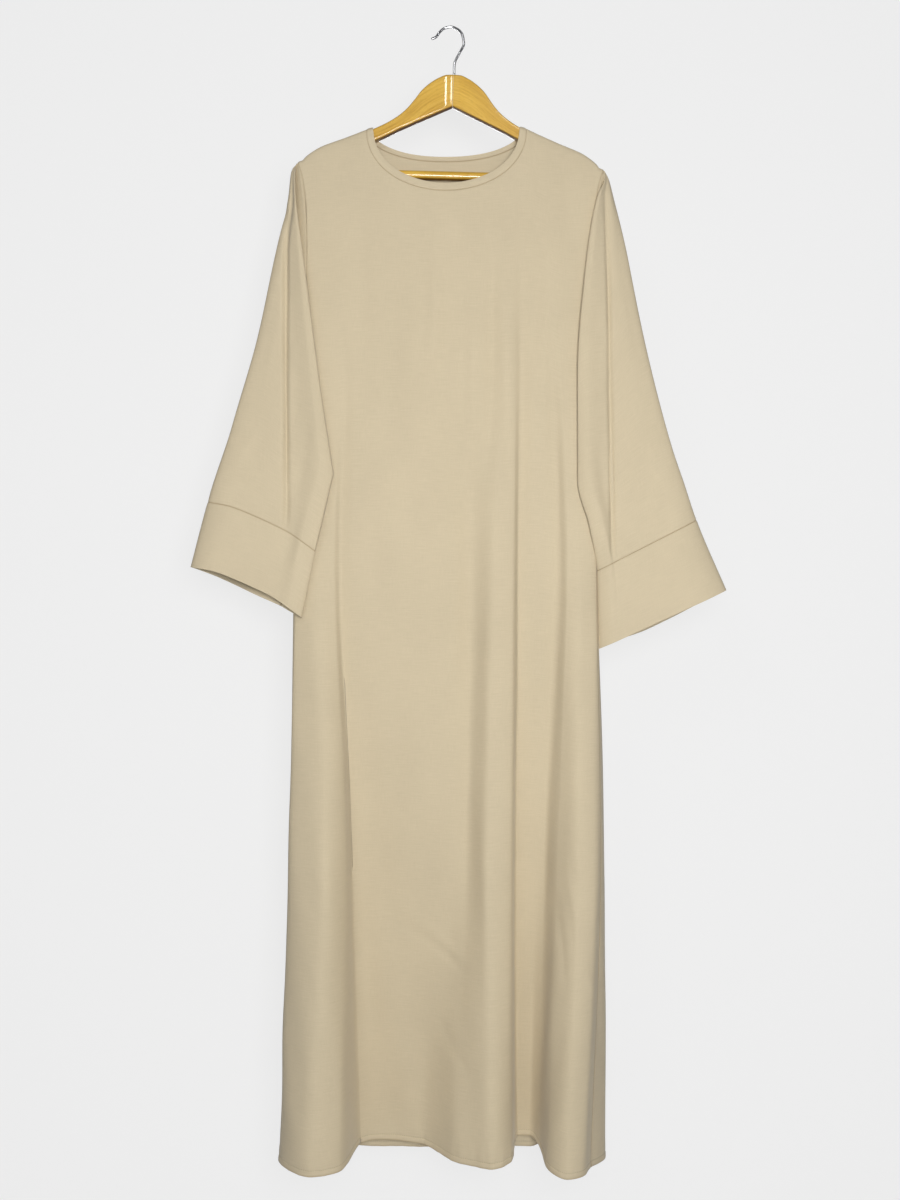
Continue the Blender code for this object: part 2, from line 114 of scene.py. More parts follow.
def add_surface(name, points, lay, ring=False, caps=False, flip=False):
    """A mesh over a grid of points with the UV map "cut" from lay; ring joins last column to first."""
    rows, columns = points.shape[:2]
    corner = np.arange(rows * columns).reshape(rows, columns)
    spot = np.arange(rows * lay.shape[1]).reshape(rows, -1)
    if ring:
        corner = np.concatenate([corner, corner[:, :1]], 1)
    way = -1 if flip else 1
    faces, spots = (
        np.stack([g[:-1, :-1], g[1:, :-1], g[1:, 1:], g[:-1, 1:]], -1).reshape(-1, 4)[:, ::way].tolist()
        for g in (corner, spot)
    )
    if caps:
        for g, made in ((corner, faces), (spot, spots)):
            made += [g[0, :columns][::way].tolist(), g[-1, :columns][::-way].tolist()]
    mesh = bpy.data.meshes.new(name)
    mesh.from_pydata((points.reshape(-1, 3) * MM).tolist(), [], faces)
    mesh.shade_smooth()
    flat = np.concatenate([np.asarray(face) for face in spots])
    mesh.uv_layers.new(name="cut").uv.foreach_set("vector", (lay.reshape(-1, 2)[flat] * MM).ravel())
    return placed(name, mesh)


def dress(piece, node, finish):
    """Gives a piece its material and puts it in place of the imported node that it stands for."""
    piece.data.materials.append(finish)
    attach(piece, "root")
    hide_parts(node)


def rounded_section(half_height, half_depth, rounding):
    """(up, forward) round a rectangle: quarter circles at its corners, and a point just past each end."""
    turn = np.radians(np.linspace(0, 90, CORNER_POINTS))
    up, forward = np.cos(turn), np.sin(turn)
    up = np.concatenate([up[:1], up, up[-1:] - PAST_CORNER])
    forward = np.concatenate([forward[:1] - PAST_CORNER, forward, forward[-1:]])
    rings = []
    for sign_up, sign_forward, way in ((1, 1, 1), (-1, 1, -1), (-1, -1, 1), (1, -1, -1)):
        rings.append(np.stack([
            sign_up * (half_height[:, None] - rounding + rounding * up[::way]),
            sign_forward * (half_depth - rounding + rounding * forward[::way]) + 0 * half_height[:, None],
        ], -1))
    return np.concatenate(rings, 1)


def arm_surface(side):
    """One arm: the rounded section carried from mitre to tip, its face dipping a little at the mitre."""
    stations = np.array(ARM_STATIONS, float)
    edges = smooth(range(len(stations)), stations, np.linspace(0, len(stations) - 1, ARM_ROWS))
    edges[..., 0] = np.maximum(edges[..., 0], MITRE_GAP)
    dip = MITRE_DIP * np.exp(-(edges[..., 0].mean(1) / MITRE_REACH) ** 2)
    top, bottom = np.moveaxis(tilted(edges * [side, 1]), 1, 0)
    height = np.linalg.norm(top - bottom, axis=1)
    ups, forwards = np.moveaxis(rounded_section(height / 2, ARM_DEPTH / 2, ARM_ROUNDING), -1, 0)
    upward = (top - bottom) / height[:, None]
    xz = (top + bottom)[:, None] / 2 + ups[..., None] * upward[:, None]
    y = -forwards + np.where(forwards > 0, dip[:, None], 0)
    points = np.stack([xz[..., 0], y, xz[..., 1]], -1)
    along = run_along((top + bottom)[:, None] / 2, 0)
    lay = np.stack([side * along + 0 * ups, ups + BACK_GRAIN_APART * (forwards > 0)], -1)
    return points, np.concatenate([lay, lay[:, :1]], 1)


def new_material(name):
    """(material, its nodes, its links, its Principled shader)."""
    made = bpy.data.materials.new(name)
    made.use_nodes = True
    tree = made.node_tree
    return made, tree.nodes, tree.links, tree.nodes["Principled BSDF"]


def fill_in(node, values):
    """Sets a node's inputs by their names."""
    for name, value in values.items():
        node.inputs[name].default_value = value


def cut_map(nodes):
    """The UV map "cut", which every piece carries."""
    uv = nodes.new("ShaderNodeUVMap")
    uv.uv_map = "cut"
    return uv.outputs["UV"]


def stretched_noise(nodes, links, source, scale, detail=2.0, rough=0.5, shift=(0, 0, 0)):
    """A noise whose cells are stretched by a Mapping node, in cells a metre along each axis."""
    mapping, noise = nodes.new("ShaderNodeMapping"), nodes.new("ShaderNodeTexNoise")
    fill_in(mapping, {"Scale": scale, "Location": shift})
    fill_in(noise, {"Scale": 1.0, "Detail": detail, "Roughness": rough})
    links.new(source, mapping.inputs["Vector"])
    links.new(mapping.outputs["Vector"], noise.inputs["Vector"])
    return noise.outputs["Fac"]


def ramp(nodes, links, source, stops):
    """A colour ramp through (place, colour) stops."""
    made = nodes.new("ShaderNodeValToRGB")
    while len(made.color_ramp.elements) < len(stops):
        made.color_ramp.elements.new(0.5)
    for element, (place, colour) in zip(made.color_ramp.elements, stops):
        element.position, element.color = place, (*colour, 1)
    links.new(source, made.inputs["Fac"])
    return made.outputs["Color"]


def multiplied(nodes, links, colour, by):
    """One colour multiplied by another."""
    mixed = nodes.new("ShaderNodeMix")
    mixed.data_type, mixed.blend_type = "RGBA", "MULTIPLY"
    mixed.inputs["Factor"].default_value = 1.0
    links.new(colour, mixed.inputs["A"])
    links.new(by, mixed.inputs["B"])
    return mixed.outputs["Result"]


def raise_relief(nodes, links, shader, height, strength, distance):
    """Feeds a height into the shader's normal; the distance is in millimetres."""
    bump = nodes.new("ShaderNodeBump")
    fill_in(bump, {"Strength": strength, "Distance": distance * MM})
    links.new(height, bump.inputs["Height"])
    links.new(bump.outputs["Normal"], shader.inputs["Normal"])


def golden_varnish():
    """Straight-grained wood under clear varnish: long streaks, dark pores, and painted brown shade where it
    faces down.
    """
    made, nodes, links, shader = new_material("golden_varnish")
    along_cut = cut_map(nodes)
    streaks = stretched_noise(nodes, links, along_cut, (14, 420, 1), 3.0, 0.6)
    drift = stretched_noise(nodes, links, along_cut, (9, 26, 1), 1.0)
    pores = stretched_noise(nodes, links, along_cut, (160, 1900, 1), 1.0, 0.5, (3, 1, 0))
    grain = ramp(nodes, links, streaks, ((0.30, (0.59, 0.33, 0.033)), (0.52, (0.72, 0.44, 0.058)),
                                         (0.75, (0.79, 0.51, 0.095))))
    broad = ramp(nodes, links, drift, ((0.35, (0.84, 0.80, 0.72)), (0.65, (1, 1, 1))))
    fleck = ramp(nodes, links, pores, ((0.30, (0.80, 0.74, 0.62)), (0.42, (1, 1, 1))))
    # Painted shade: the colour turns dark brown where the wood faces down, as if in shadow.
    below = nodes.new("ShaderNodeAttribute")
    below.attribute_name = "painted_underside_shade"
    painted_shade = ramp(nodes, links, below.outputs["Fac"], ((0.0, (1, 1, 1)), (1.0, (0.26, 0.19, 0.16))))
    for layer in (broad, fleck, painted_shade):
        grain = multiplied(nodes, links, grain, layer)
    links.new(grain, shader.inputs["Base Color"])
    raise_relief(nodes, links, shader, streaks, 0.15, 0.1)
    fill_in(shader, {"Roughness": 0.34, "Coat Weight": 0.8, "Coat Roughness": 0.07})
    return made


varnished = golden_varnish()


def wooden(node, points, lay, flip=False):
    """A wooden piece, with a point attribute that is 1 where it faces down and 0 from its lower edge up: the
    mask of its painted shade.
    """
    piece = add_surface(node + "_wood", points, lay, ring=True, caps=True, flip=flip)
    piece.data.set_sharp_from_angle(angle=SHARP)
    # The attribute masks the painted shade on the faces that look down.
    facing = np.zeros(len(piece.data.vertices) * 3)
    piece.data.vertices.foreach_get("normal", facing)
    mark = piece.data.attributes.new("painted_underside_shade", "FLOAT", "POINT")
    mark.data.foreach_set("value", grown(-UNDERSIDE_SHADE_FROM - facing[2::3], UNDERSIDE_SHADE_BLEND))
    dress(piece, node, varnished)


wooden("hanger_arm_left", *arm_surface(-1))
wooden("hanger_arm_right", *arm_surface(1), flip=True)

# The trouser bar: a turned round rod of the same wood and varnish, glued into the lugs at both ends of the
# hanger, so only its middle shows behind the neckline.
BAR_ENDS, BAR, BAR_POINTS = ((-173.7, -136), (173.7, -136)), 12.0, 60
TIP_FLAT = 0.02


def rod(line, radius, around, tip=0.0):
    """A circle carried along the points (x, z), whose last end closes to a dome over the length tip."""
    line = np.asarray(line, float)
    forward = unit(np.gradient(line, axis=0))
    turn = np.linspace(0, 2 * np.pi, around, endpoint=False)
    walked = run_along(line[:, None], 0)
    left = walked[-1] - walked
    share = np.sqrt(1 - (1 - np.clip(left / tip, TIP_FLAT, 1)) ** 2) if tip else 1 + 0 * walked
    out = radius * share * np.cos(turn)
    y = radius * share * np.sin(turn)
    points = np.stack([line[:, :1] - out * forward[:, 1:], y, line[:, 1:] + out * forward[:, :1]], -1)
    lay = np.stack([walked + 0 * turn, radius * turn + 0 * walked], -1)
    return points, np.concatenate([lay, lay[:, :1] + [0, 2 * np.pi * radius]], 1)


wooden("hanger_bar", *rod(np.linspace(*tilted(BAR_ENDS), BAR_POINTS), BAR / 2, 36))

# The hook: one length of nickel-plated spring wire, bent by machine to a crook and screwed into the wood at
# the mitre. The free end is cut and rounded off.
HOOK, WIRE = ((4.5, -63.4), (4.5, -55), (5.2, -47), (12, -33), (17.6, -21), (15.5, -9), (9, -1.5), (0, 1.65),
              (-9, -0.5), (-15.5, -6), (-20, -12), (-26.5, -15)), 3.3
HOOK_POINTS, TIP_FROM, TIP_POINTS, TIP_GATHER = 160, -4, 10, 1.5


def bright_nickel():
    """Plated wire: bright, with faint drawing marks along it that break up its reflections."""
    made, nodes, links, shader = new_material("bright_nickel")
    marks = stretched_noise(nodes, links, cut_map(nodes), (120, 2600, 1))
    worn = ramp(nodes, links, marks, ((0.3, (0.13, 0.13, 0.13)), (0.7, (0.24, 0.24, 0.24))))
    links.new(worn, shader.inputs["Roughness"])
    fill_in(shader, {"Base Color": (0.62, 0.62, 0.64, 1), "Metallic": 1.0})
    return made


line = smooth(range(len(HOOK)), HOOK, np.linspace(0, len(HOOK) - 1, HOOK_POINTS))
left = np.linspace(1, 0, TIP_POINTS)[:, None] ** TIP_GATHER
near_tip = HOOK[-1] + left * (line[TIP_FROM] - HOOK[-1])
points, lay = rod(np.concatenate([line[:TIP_FROM], near_tip]), WIRE / 2, 20, tip=WIRE / 2)
hook = add_surface("hanger_hook_wire", points, lay, ring=True, caps=True)
dress(hook, "hanger_hook", bright_nickel())

# The front panel: one width of beige crepe, cut in one from the shoulders to the hem, with a scooped neck.
# It falls from the hanger's arms in deep soft folds, and its hem is turned up twice and stitched.
CLOTH = 1.0
CHEST, ARMPIT, WAIST, KNEE, HEM = -300.0, -455.0, -709.0, -1100.0, -1525.0
NECK_CENTRE, NECK_HALF_WIDTH = -5.8, 107.8
Neck = namedtuple("Neck", "folds drop inner_power outer_power")
FRONT_NECK, BACK_NECK = Neck((4, 13), 84.0, 2.0, 0.455), Neck((3, 9), 39.0, 2.2, 0.56)
TIPS = {"left": -206.0, "right": 205.5}
TIP_DROP, WOOD_END, WOOD_END_FADE, COVER, SHOULDER_RUN, TOP_POINTS = 2.6, 197, 9, 2.5, 90.0, 80
SIDEWAYS_BEND, MORE_BEND_OUTSIDE = 1.3, 2.7
FRONT_FLAT, FRONT_AREA = (0.72, 1.40), 0.66


def table(kind, *rows):
    """Rows of a kind, each of whose columns has its name."""
    return tuple(kind(*row) for row in rows)


# Fold lines of a panel, from the viewer's left seam to the right one: (x, depth) at each height,
# and the hem's own height last. The first and last lines are the armholes and side seams.
Fold = namedtuple("Fold", "name columns chest armpit waist knee hem bottom")
FRONT_FOLDS = table(
    Fold,
    ("left seam", 2, (-193.5, 9), (-198, 0), (-211, 0), (-216, -8), (-226, -24), -1529),
    ("left edge", 2, (-184, 10), (-190, 8), (-207, 7), (-217, 9), (-230, 10), -1524),
    ("left lobe", 3, (-163, 10), (-165, 10), (-178, 11.5), (-169, 34), (-185, 55), -1524),
    ("left lobe side", 2, (-148, 10), (-150, 10), (-158, 10), (-142, 12), (-147, 44), -1523),
    ("left valley", 5, (-135, 10), (-138, 10), (-147, 4), (-135, -13), (-124, -38), -1522),
    ("broad fold left", 4, (-95, 10), (-98, 10), (-106, 7), (-108, -19), (-98, -47), -1521),
    ("broad fold right", 3, (-25, 11), (-20, 11), (-8, 6), (-14, -7), (-44, -38), -1522),
    ("soft valley", 3, (30, 11), (30, 10.5), (26, 1), (20, -4), (6, 10), -1525),
    ("centre lobe", 2, (64, 12), (64, 12), (60, 14), (50, 20), (54, 36), -1523),
    ("centre lobe side", 2, (84, 11), (85, 11), (83, 11), (81, 12), (80, 16), -1522),
    ("recess left", 2, (95, 10), (95, 9.5), (92, 1), (91, -14), (92, -40), -1512),
    ("recess right", 3, (109, 10), (109, 9.5), (111, 2), (113, -12), (108, -40), -1512),
    ("recess turn", 2, (124, 10), (132, 8), (141, 2), (129, -9), (121, -18), -1516),
    ("right lobe side", 4, (140, 10), (148, 11), (157, 12), (144, 15), (128, 33), -1523),
    ("right lobe", 3, (163, 10), (166, 10.5), (172, 13), (170, 34), (151, 58), -1526),
    ("right lobe edge", 2, (184, 10), (187, 9.5), (188, 11), (189, 29), (173, 48), -1526),
    ("right seam", 1, (193.5, 9), (197, 2), (196, 5), (200, 16), (186, 20), -1528),
)
BACK_FOLDS = table(
    Fold,
    ("left seam", 2, (-193.5, -9), (-198, 0), (-211, 0), (-216, -8), (-226, -24), -1529),
    ("left edge", 3, (-183, -9), (-188, -8), (-203, -12), (-209, -27), (-213, -60), -1531),
    ("lobe 1", 3, (-150, -10), (-156, -11), (-165, -16), (-172, -44), (-175, -98), -1533),
    ("valley 1", 5, (-120, -10), (-121, -10), (-122, -12), (-124, -28), (-124, -60), -1536),
    ("flat", 4, (-65, -10), (-65, -10), (-65, -12), (-68, -28), (-72, -60), -1537),
    ("valley 2", 4, (-22, -10), (-22, -10), (-23, -12), (-24, -28), (-26, -58), -1537),
    ("lobe 2", 3, (26, -10), (27, -11), (29, -17), (33, -48), (37, -100), -1534),
    ("valley 3", 2, (78, -10), (78, -10), (79, -13), (82, -30), (84, -60), -1536),
    ("recess", 4, (108, -10), (108, -10), (109, -12), (111, -28), (112, -58), -1536),
    ("lobe 3", 2, (143, -10), (146, -11), (150, -15), (153, -42), (155, -92), -1534),
    ("right edge", 2, (178, -10), (184, -9), (189, -10), (199, -28), (203, -58), -1533),
    ("right turn", 2, (190, -9.5), (194, -5), (197, -4), (208, -9), (211, -20), -1532),
    ("right seam", 1, (193.5, -9), (197, 2), (196, 5), (200, 16), (186, 20), -1528),
)

# How far a panel stands out from the shoulder seam at each drop below it.
OVER_ARM = ((0, 0.5), (0.4, 4.2), (2.4, 7.2), (6.5, 8.4), (14, 9.0), (60, 10.0))
TOP_ROWS = (0, 0.12, 0.4, 1.0, 1.7, 2.4, 3.6, 5.0, 6.5)
TOP_SHARES = tuple(np.linspace(0.06, 0.94, 14))
ARMHOLE_ROWS_BELOW_CHEST, SKIRT_ROWS = 26, 168
HEM_ROWS = (10.0, 8.6, 7.6, 6.8, 5.0, 3.0, 1.4, 0.5, 0.0)
FINER = 4
EDGE_COLUMNS = (0.05, 0.12)


def shoulder_height(x):
    """Height of the cloth's middle where it lies over the hanger, at each x."""
    stations = np.array(ARM_STATIONS, float)
    top = smooth(range(len(stations)), stations[:, 0], np.linspace(0, len(stations) - 2, TOP_POINTS))
    outline = np.concatenate([tilted(top * [-1, 1])[:0:-1], tilted(top)])
    past_wood = grown(np.abs(x) - WOOD_END, WOOD_END_FADE)
    return np.interp(x, outline[:, 0], outline[:, 1]) + COVER - TIP_DROP * past_wood**2


def neck_of(folds):
    """The neck that goes with a panel's folds."""
    return FRONT_NECK if folds is FRONT_FOLDS else BACK_NECK


def fold_columns(folds):
    """Places of the columns, counted in folds; they gather towards both neck points and both side seams."""
    places, neck = [], neck_of(folds).folds
    for index, fold in enumerate(folds[:-1]):
        share = np.arange(fold.columns * FINER) / (fold.columns * FINER)
        if index == neck[0]:
            share = share**2
        if index == neck[1] - 1:
            share = 1 - (1 - share) ** 2
        places.append(index + share)
    last = len(folds) - 1
    near_edges = [EDGE_COLUMNS, last - np.array(EDGE_COLUMNS), [last]]
    return np.unique(np.concatenate(places + near_edges))


def at_neck(folds):
    """Which of a panel's columns lie at its neck."""
    first, last = neck_of(folds).folds
    places = fold_columns(folds)
    return (places >= first) & (places <= last)


def neckline(folds, chest_x):
    """(x, z) of a panel's top edge: along each shoulder, and a drop of (1 - t^p)^q round the neck."""
    neck = neck_of(folds)
    first, last = (folds[i].chest[0] for i in neck.folds)
    t = -np.cos(np.pi * grown(chest_x - first, last - first))
    drop = neck.drop * (1 - np.abs(t) ** neck.inner_power) ** neck.outer_power
    left, right = chest_x < first, chest_x > last
    x = NECK_CENTRE + NECK_HALF_WIDTH * t
    x[left] += (TIPS["left"] - x[left]) * (first - chest_x[left]) / (first - chest_x[0])
    x[right] += (TIPS["right"] - x[right]) * (chest_x[right] - last) / (chest_x[-1] - last)
    start = np.interp(t, (-1, 1), shoulder_height(NECK_CENTRE + NECK_HALF_WIDTH * np.array([-1, 1])))
    return x, np.where(left | right, shoulder_height(x), start - drop)


def panel(folds):
    """Rows of points down a panel: top edge to chest, then through the fold lines to the hem."""
    front = folds is FRONT_FOLDS
    places = fold_columns(folds)
    heights = [CHEST, ARMPIT, WAIST, KNEE, HEM]
    other = BACK_FOLDS if front else FRONT_FOLDS
    round_body = (other[1],) + folds + (other[-2],)
    lines = np.array([[f.chest, f.armpit, f.waist, f.knee, f.hem] for f in round_body], float)
    upper = np.linspace(CHEST, ARMPIT, ARMHOLE_ROWS_BELOW_CHEST + 1)
    lower = np.linspace(ARMPIT, HEM + HEM_ROWS[0], SKIRT_ROWS + 1)[1:-1]
    below = np.concatenate([upper, lower, HEM + np.array(HEM_ROWS)])
    at_rows = smooth(heights[::-1], lines.transpose(1, 0, 2)[::-1], below)
    across = smooth(range(-1, len(folds) + 1), at_rows.transpose(1, 0, 2), places).transpose(1, 0, 2)
    bottom = smooth(range(-1, len(folds) + 1), [f.bottom for f in round_body], places)
    z = CHEST + (below[:, None] - CHEST) * (bottom - CHEST) / (HEM - CHEST)
    z = np.where(below[:, None] >= ARMPIT, below[:, None], z)
    body = np.stack([across[..., 0], -across[..., 1], z], -1)

    chest_x = body[0, :, 0]
    top_x, top_z = neckline(folds, chest_x)
    room = top_z - CHEST - TOP_ROWS[-1]
    drops = np.array([0 * top_z + d for d in TOP_ROWS] + [TOP_ROWS[-1] + room * s for s in TOP_SHARES])
    share = drops / (top_z - CHEST)
    sideways = grown(np.abs(top_x - NECK_CENTRE) - NECK_HALF_WIDTH, SHOULDER_RUN)
    x = chest_x + (top_x - chest_x) * (1 - share) ** (SIDEWAYS_BEND + MORE_BEND_OUTSIDE * sideways)
    z = top_z - drops
    below_arm, stand = zip(*OVER_ARM)
    under = np.clip(shoulder_height(top_x) - z, 0, below_arm[-1])
    depth = smooth(below_arm, stand, under.ravel()).reshape(z.shape)
    depth = depth + share * (np.abs(body[0, :, 1]) - stand[-1])
    top = np.stack([x, -depth if front else depth, z], -1)
    return np.concatenate([top, body])


def moved_out(points, distance, flip):
    """A grid moved along its normals, which are square to both its directions; flip turns them round."""
    normal = unit(np.cross(np.gradient(points, axis=0), np.gradient(points, axis=1)))
    return points + distance[..., None] * (-normal if flip else normal)


# A crease runs from one (x, z) to another; bow bends it sideways in the middle, width is its bell's, and
# height is how far it stands out, or in where it is below zero.
Crease = namedtuple("Crease", "start end bow width height")
CREASE_FADE = 0.8
FRONT_CREASES = table(
    Crease,
    ((-22, -262), (-30, -520), 2, 7, 2.0),
    ((2, -250), (-4, -560), -2, 8, -2.3),
    ((30, -300), (28, -600), 1, 9, 2.0),
    ((54, -262), (50, -640), 3, 8, -2.6),
    ((74, -300), (78, -640), -1, 9, 2.4),
    ((93, -330), (97, -700), 1, 8, -2.7),
    ((128, -270), (122, -560), 2, 9, 2.2),
    ((-92, -300), (-110, -690), 3, 14, 1.6),
    ((-140, -380), (-150, -760), 2, 9, -1.7),
    ((-60, -480), (-66, -900), -4, 16, 0.6),
    ((-74, -1215), (38, -1290), 6, 5, -1.2),
    ((-58, -1205), (20, -1262), 4, 5, 0.9),
    ((-92, -1180), (-30, -1215), 3, 4, 0.7),
    ((-20, -1330), (34, -1420), -4, 7, -1.1),
    ((138, -1160), (150, -1290), 3, 5, -1.2),
    ((150, -1120), (168, -1250), 5, 5, 1.0),
    ((164, -1090), (186, -1128), 2, 4, -1.1),
    ((168, -1240), (188, -1300), 3, 5, 1.0),
    ((-190, -1120), (-158, -1185), 4, 5, 0.7),
    ((-205, -1240), (-176, -1330), 4, 6, -0.7),
    ((-196, -1400), (-160, -1450), 3, 6, 0.6),
    ((60, -1180), (68, -1400), 3, 7, -0.8),
    ((-8, -800), (4, -1010), 3, 12, -0.7),
    ((-150, -860), (-120, -905), 3, 5, -0.6),
    ((-186, -760), (-160, -830), 3, 6, 0.7),
    ((112, -760), (120, -960), 2, 6, -0.9),
    ((170, -700), (178, -860), -2, 8, 0.9),
    ((88, -900), (87.5, -1510), 0, 3, -1.7),
    ((139, -470), (149, -800), 0, 5, -1.0),
)


def creased(points, creases, flip):
    """Moves the points along their normals by every crease: a bell across it that fades to both its ends."""
    out = np.zeros(points.shape[:2])
    for crease in creases:
        start, end = np.array(crease.start, float), np.array(crease.end, float)
        length = np.linalg.norm(end - start)
        ahead = (end - start) / length
        from_start = points[..., [0, 2]] - start
        t = (from_start @ ahead) / length
        bent = crease.bow * 4 * t * (1 - t)
        off = from_start @ [-ahead[1], ahead[0]] - bent
        fade = np.sin(np.pi * np.clip(t, 0, 1)) ** CREASE_FADE
        out += crease.height * fade * np.exp(-(off / crease.width) ** 2)
    return moved_out(points, out, flip)


WAVES, WAVE_TURN, WAVE_LENGTHS, WAVE_SUM = 12, 0.5, (38, 120), 3.5
DOWN_SHARE, SWAY, SWAY_LENGTH = 0.4, 0.8, 170


def rumpled(points, lay, flip, amount, seed):
    """Adds the cloth's own slight unevenness: long shallow waves, each with its own way and length."""
    pick = np.random.default_rng(seed)
    out = np.zeros(points.shape[:2])
    for _ in range(WAVES):
        angle = pick.uniform(-WAVE_TURN, WAVE_TURN)
        length, phase = pick.uniform(*WAVE_LENGTHS), pick.uniform(0, 6.3)
        cross = lay[..., 0] * np.cos(angle) + lay[..., 1] * np.sin(angle) * DOWN_SHARE
        sway = SWAY * np.sin(lay[..., 1] / SWAY_LENGTH + phase)
        out += np.sin(2 * np.pi * cross / length + phase + sway)
    return moved_out(points, amount * out / WAVE_SUM, flip)


def draw_back(points, column, beyond):
    """The sheet's first or last column, drawn back so that its wall just meets the one beyond it.

    beyond holds the next points past the seam. Where two walls turn by an angle t, each is shortened by
    half its thickness times tan(t / 2), which brings their inner corners together.
    """
    edge, inner = points[:, column], points[:, column + (1 if column == 0 else -1)]
    half_way = np.linalg.norm(inner - edge, axis=1, keepdims=True) / 2
    own, far = unit(inner - edge), unit(beyond - edge)
    bend = np.linalg.norm(own + far, axis=1) / np.linalg.norm(own - far, axis=1).clip(1e-3)
    amount = np.minimum(CLOTH / 2 * bend[:, None], half_way)
    return edge + own * amount


def lay_flat(points, level=False):
    """The cut's own (u, v): distance across from the middle column, and distance up from the hem.

    level leaves heights out of the distance across, for rows that step down round a neckline.
    """
    across, down = run_along(points * [1, 1, 0] if level else points, 1), run_along(points, 0)
    return np.stack([across - across[:, [points.shape[1] // 2]], down[-1] - down], -1)


def near(distance, width):
    """1 at a seam and fading to 0 over the width."""
    return np.exp(-(distance / width) ** 2)


def from_both_sides(points):
    """Distance along each row from the nearer of its two ends."""
    return np.minimum(run_along(points, 1), run_along(points[:, ::-1], 1)[:, ::-1])


def hemmed(points, lay, flip):
    """The turned hem: a doubled band that stands out to its row of stitches, and puckers above it."""
    u, above = lay[..., 0], lay[..., 1] - HEM_STITCH
    band = HEM_RISE / (1 + np.exp(above / HEM_STEP))
    gather = np.sin(2 * np.pi * u / PUCKER_EVERY + 2.2 * np.sin(u / 41)) * (0.6 + 0.4 * np.sin(u / 67 + 1))
    pucker = PUCKER * gather * near(above - PUCKER_ABOVE, PUCKER_REACH)
    return moved_out(points, band - STITCH_DIP * near(above, STITCH_REACH) + pucker, flip)


PEBBLING, CLOUDING = 0.16, 0.10


def math_nodes(nodes, links, *operations):
    """For each operation, a function that adds its Math node, fed by numbers or outputs."""
    def add(operation, *values):
        node = nodes.new("ShaderNodeMath")
        node.operation = operation
        for socket, value in zip(node.inputs, values):
            if isinstance(value, (int, float)):
                socket.default_value = value
            else:
                links.new(value, socket)
        return node.outputs[0]

    return [partial(add, operation) for operation in operations]


def weave_group():
    """The crepe's surface: uneven yarns across, finer ones down, and the pebbling of twisted crepe yarn.

    Shade is the colour's factor and Height is the relief, both worked out from the UV map "cut".
    """
    group = bpy.data.node_groups.new("crepe_weave", "ShaderNodeTree")
    for name, way in (("Across", "INPUT"), ("Down", "INPUT"), ("Shade", "OUTPUT"), ("Height", "OUTPUT")):
        group.interface.new_socket(name, in_out=way, socket_type="NodeSocketFloat")
    nodes, links = group.nodes, group.links
    given, result = nodes.new("NodeGroupInput"), nodes.new("NodeGroupOutput")
    plus, minus, times = math_nodes(nodes, links, "ADD", "SUBTRACT", "MULTIPLY")
    source, layers = cut_map(nodes), []
    for scale, rough, shift, amount in (
        ((45, 820, 1), 0.6, (0, 0, 0), given.outputs["Across"]),
        ((950, 55, 1), 0.6, (7, 2, 0), given.outputs["Down"]),
        ((1500, 1300, 1), 0.6, (1, 9, 0), PEBBLING),
        ((14, 9, 1), 0.5, (5, 5, 0), CLOUDING),
    ):
        noise = stretched_noise(nodes, links, source, scale, 2.0, rough, shift)
        layers.append(times(minus(noise, 0.5), amount))
    across, down, pebbles, clouds = layers
    yarns = plus(plus(across, down), pebbles)
    links.new(plus(plus(yarns, clouds), 1.0), result.inputs["Shade"])
    links.new(plus(yarns, 0.5), result.inputs["Height"])
    return group


HEM_STITCH, HEM_RISE, HEM_STEP, STITCH_DIP, STITCH_REACH = 7.6, 0.6, 0.5, 0.5, 1.1
STITCH, STITCH_LINE, STITCH_DARKER = 2.6, 0.45, 0.34
PUCKER, PUCKER_EVERY, PUCKER_ABOVE, PUCKER_REACH = 0.85, 17, 3, 11
# The seam colour darkens the sewn seams, and also the hem's edge, where its dark line is partly painted
# shadow.
CREPE_COLOUR, SEAM_AND_SHADOW_COLOUR = (0.553, 0.468, 0.322), (0.36, 0.27, 0.16)
crepe_weave = weave_group()


def beige_crepe(name, across, down, stitched):
    """Matt crepe with its weave, darker in its seams and at the hem's edge (there partly painted shadow),
    and a row of stitches where the hem is sewn.
    """
    made, nodes, links, shader = new_material(name)
    weave = nodes.new("ShaderNodeGroup")
    weave.node_tree = crepe_weave
    fill_in(weave, {"Across": across, "Down": down})
    seam, split = nodes.new("ShaderNodeAttribute"), nodes.new("ShaderNodeSeparateXYZ")
    seam.attribute_name = "seam"
    links.new(cut_map(nodes), split.inputs[0])
    minus, times, over, power, sine, times_plus = math_nodes(
        nodes, links, "SUBTRACT", "MULTIPLY", "DIVIDE", "POWER", "SINE", "MULTIPLY_ADD")
    off_row = over(minus(split.outputs["Y"], HEM_STITCH * MM), STITCH_LINE * MM)
    row = power(math.e, times(times(off_row, off_row), -1.0))
    wave = sine(times(split.outputs["X"], 2 * math.pi / (STITCH * MM)))
    stitches = times(times(row, times_plus(wave, 0.5, 0.5)), float(stitched))
    shade = times(weave.outputs["Shade"], times_plus(stitches, -STITCH_DARKER, 1.0))
    sewn = nodes.new("ShaderNodeMix")
    sewn.data_type = "RGBA"
    fill_in(sewn, {"A": (*CREPE_COLOUR, 1), "B": (*SEAM_AND_SHADOW_COLOUR, 1)})
    links.new(seam.outputs["Fac"], sewn.inputs["Factor"])
    links.new(multiplied(nodes, links, sewn.outputs["Result"], shade), shader.inputs["Base Color"])
    raise_relief(nodes, links, shader, minus(weave.outputs["Height"], stitches), 0.5, 0.25)
    fill_in(shader, {"Roughness": 0.82, "Specular IOR Level": 0.25, "Sheen Weight": 0.18,
                     "Sheen Roughness": 0.45})
    return made


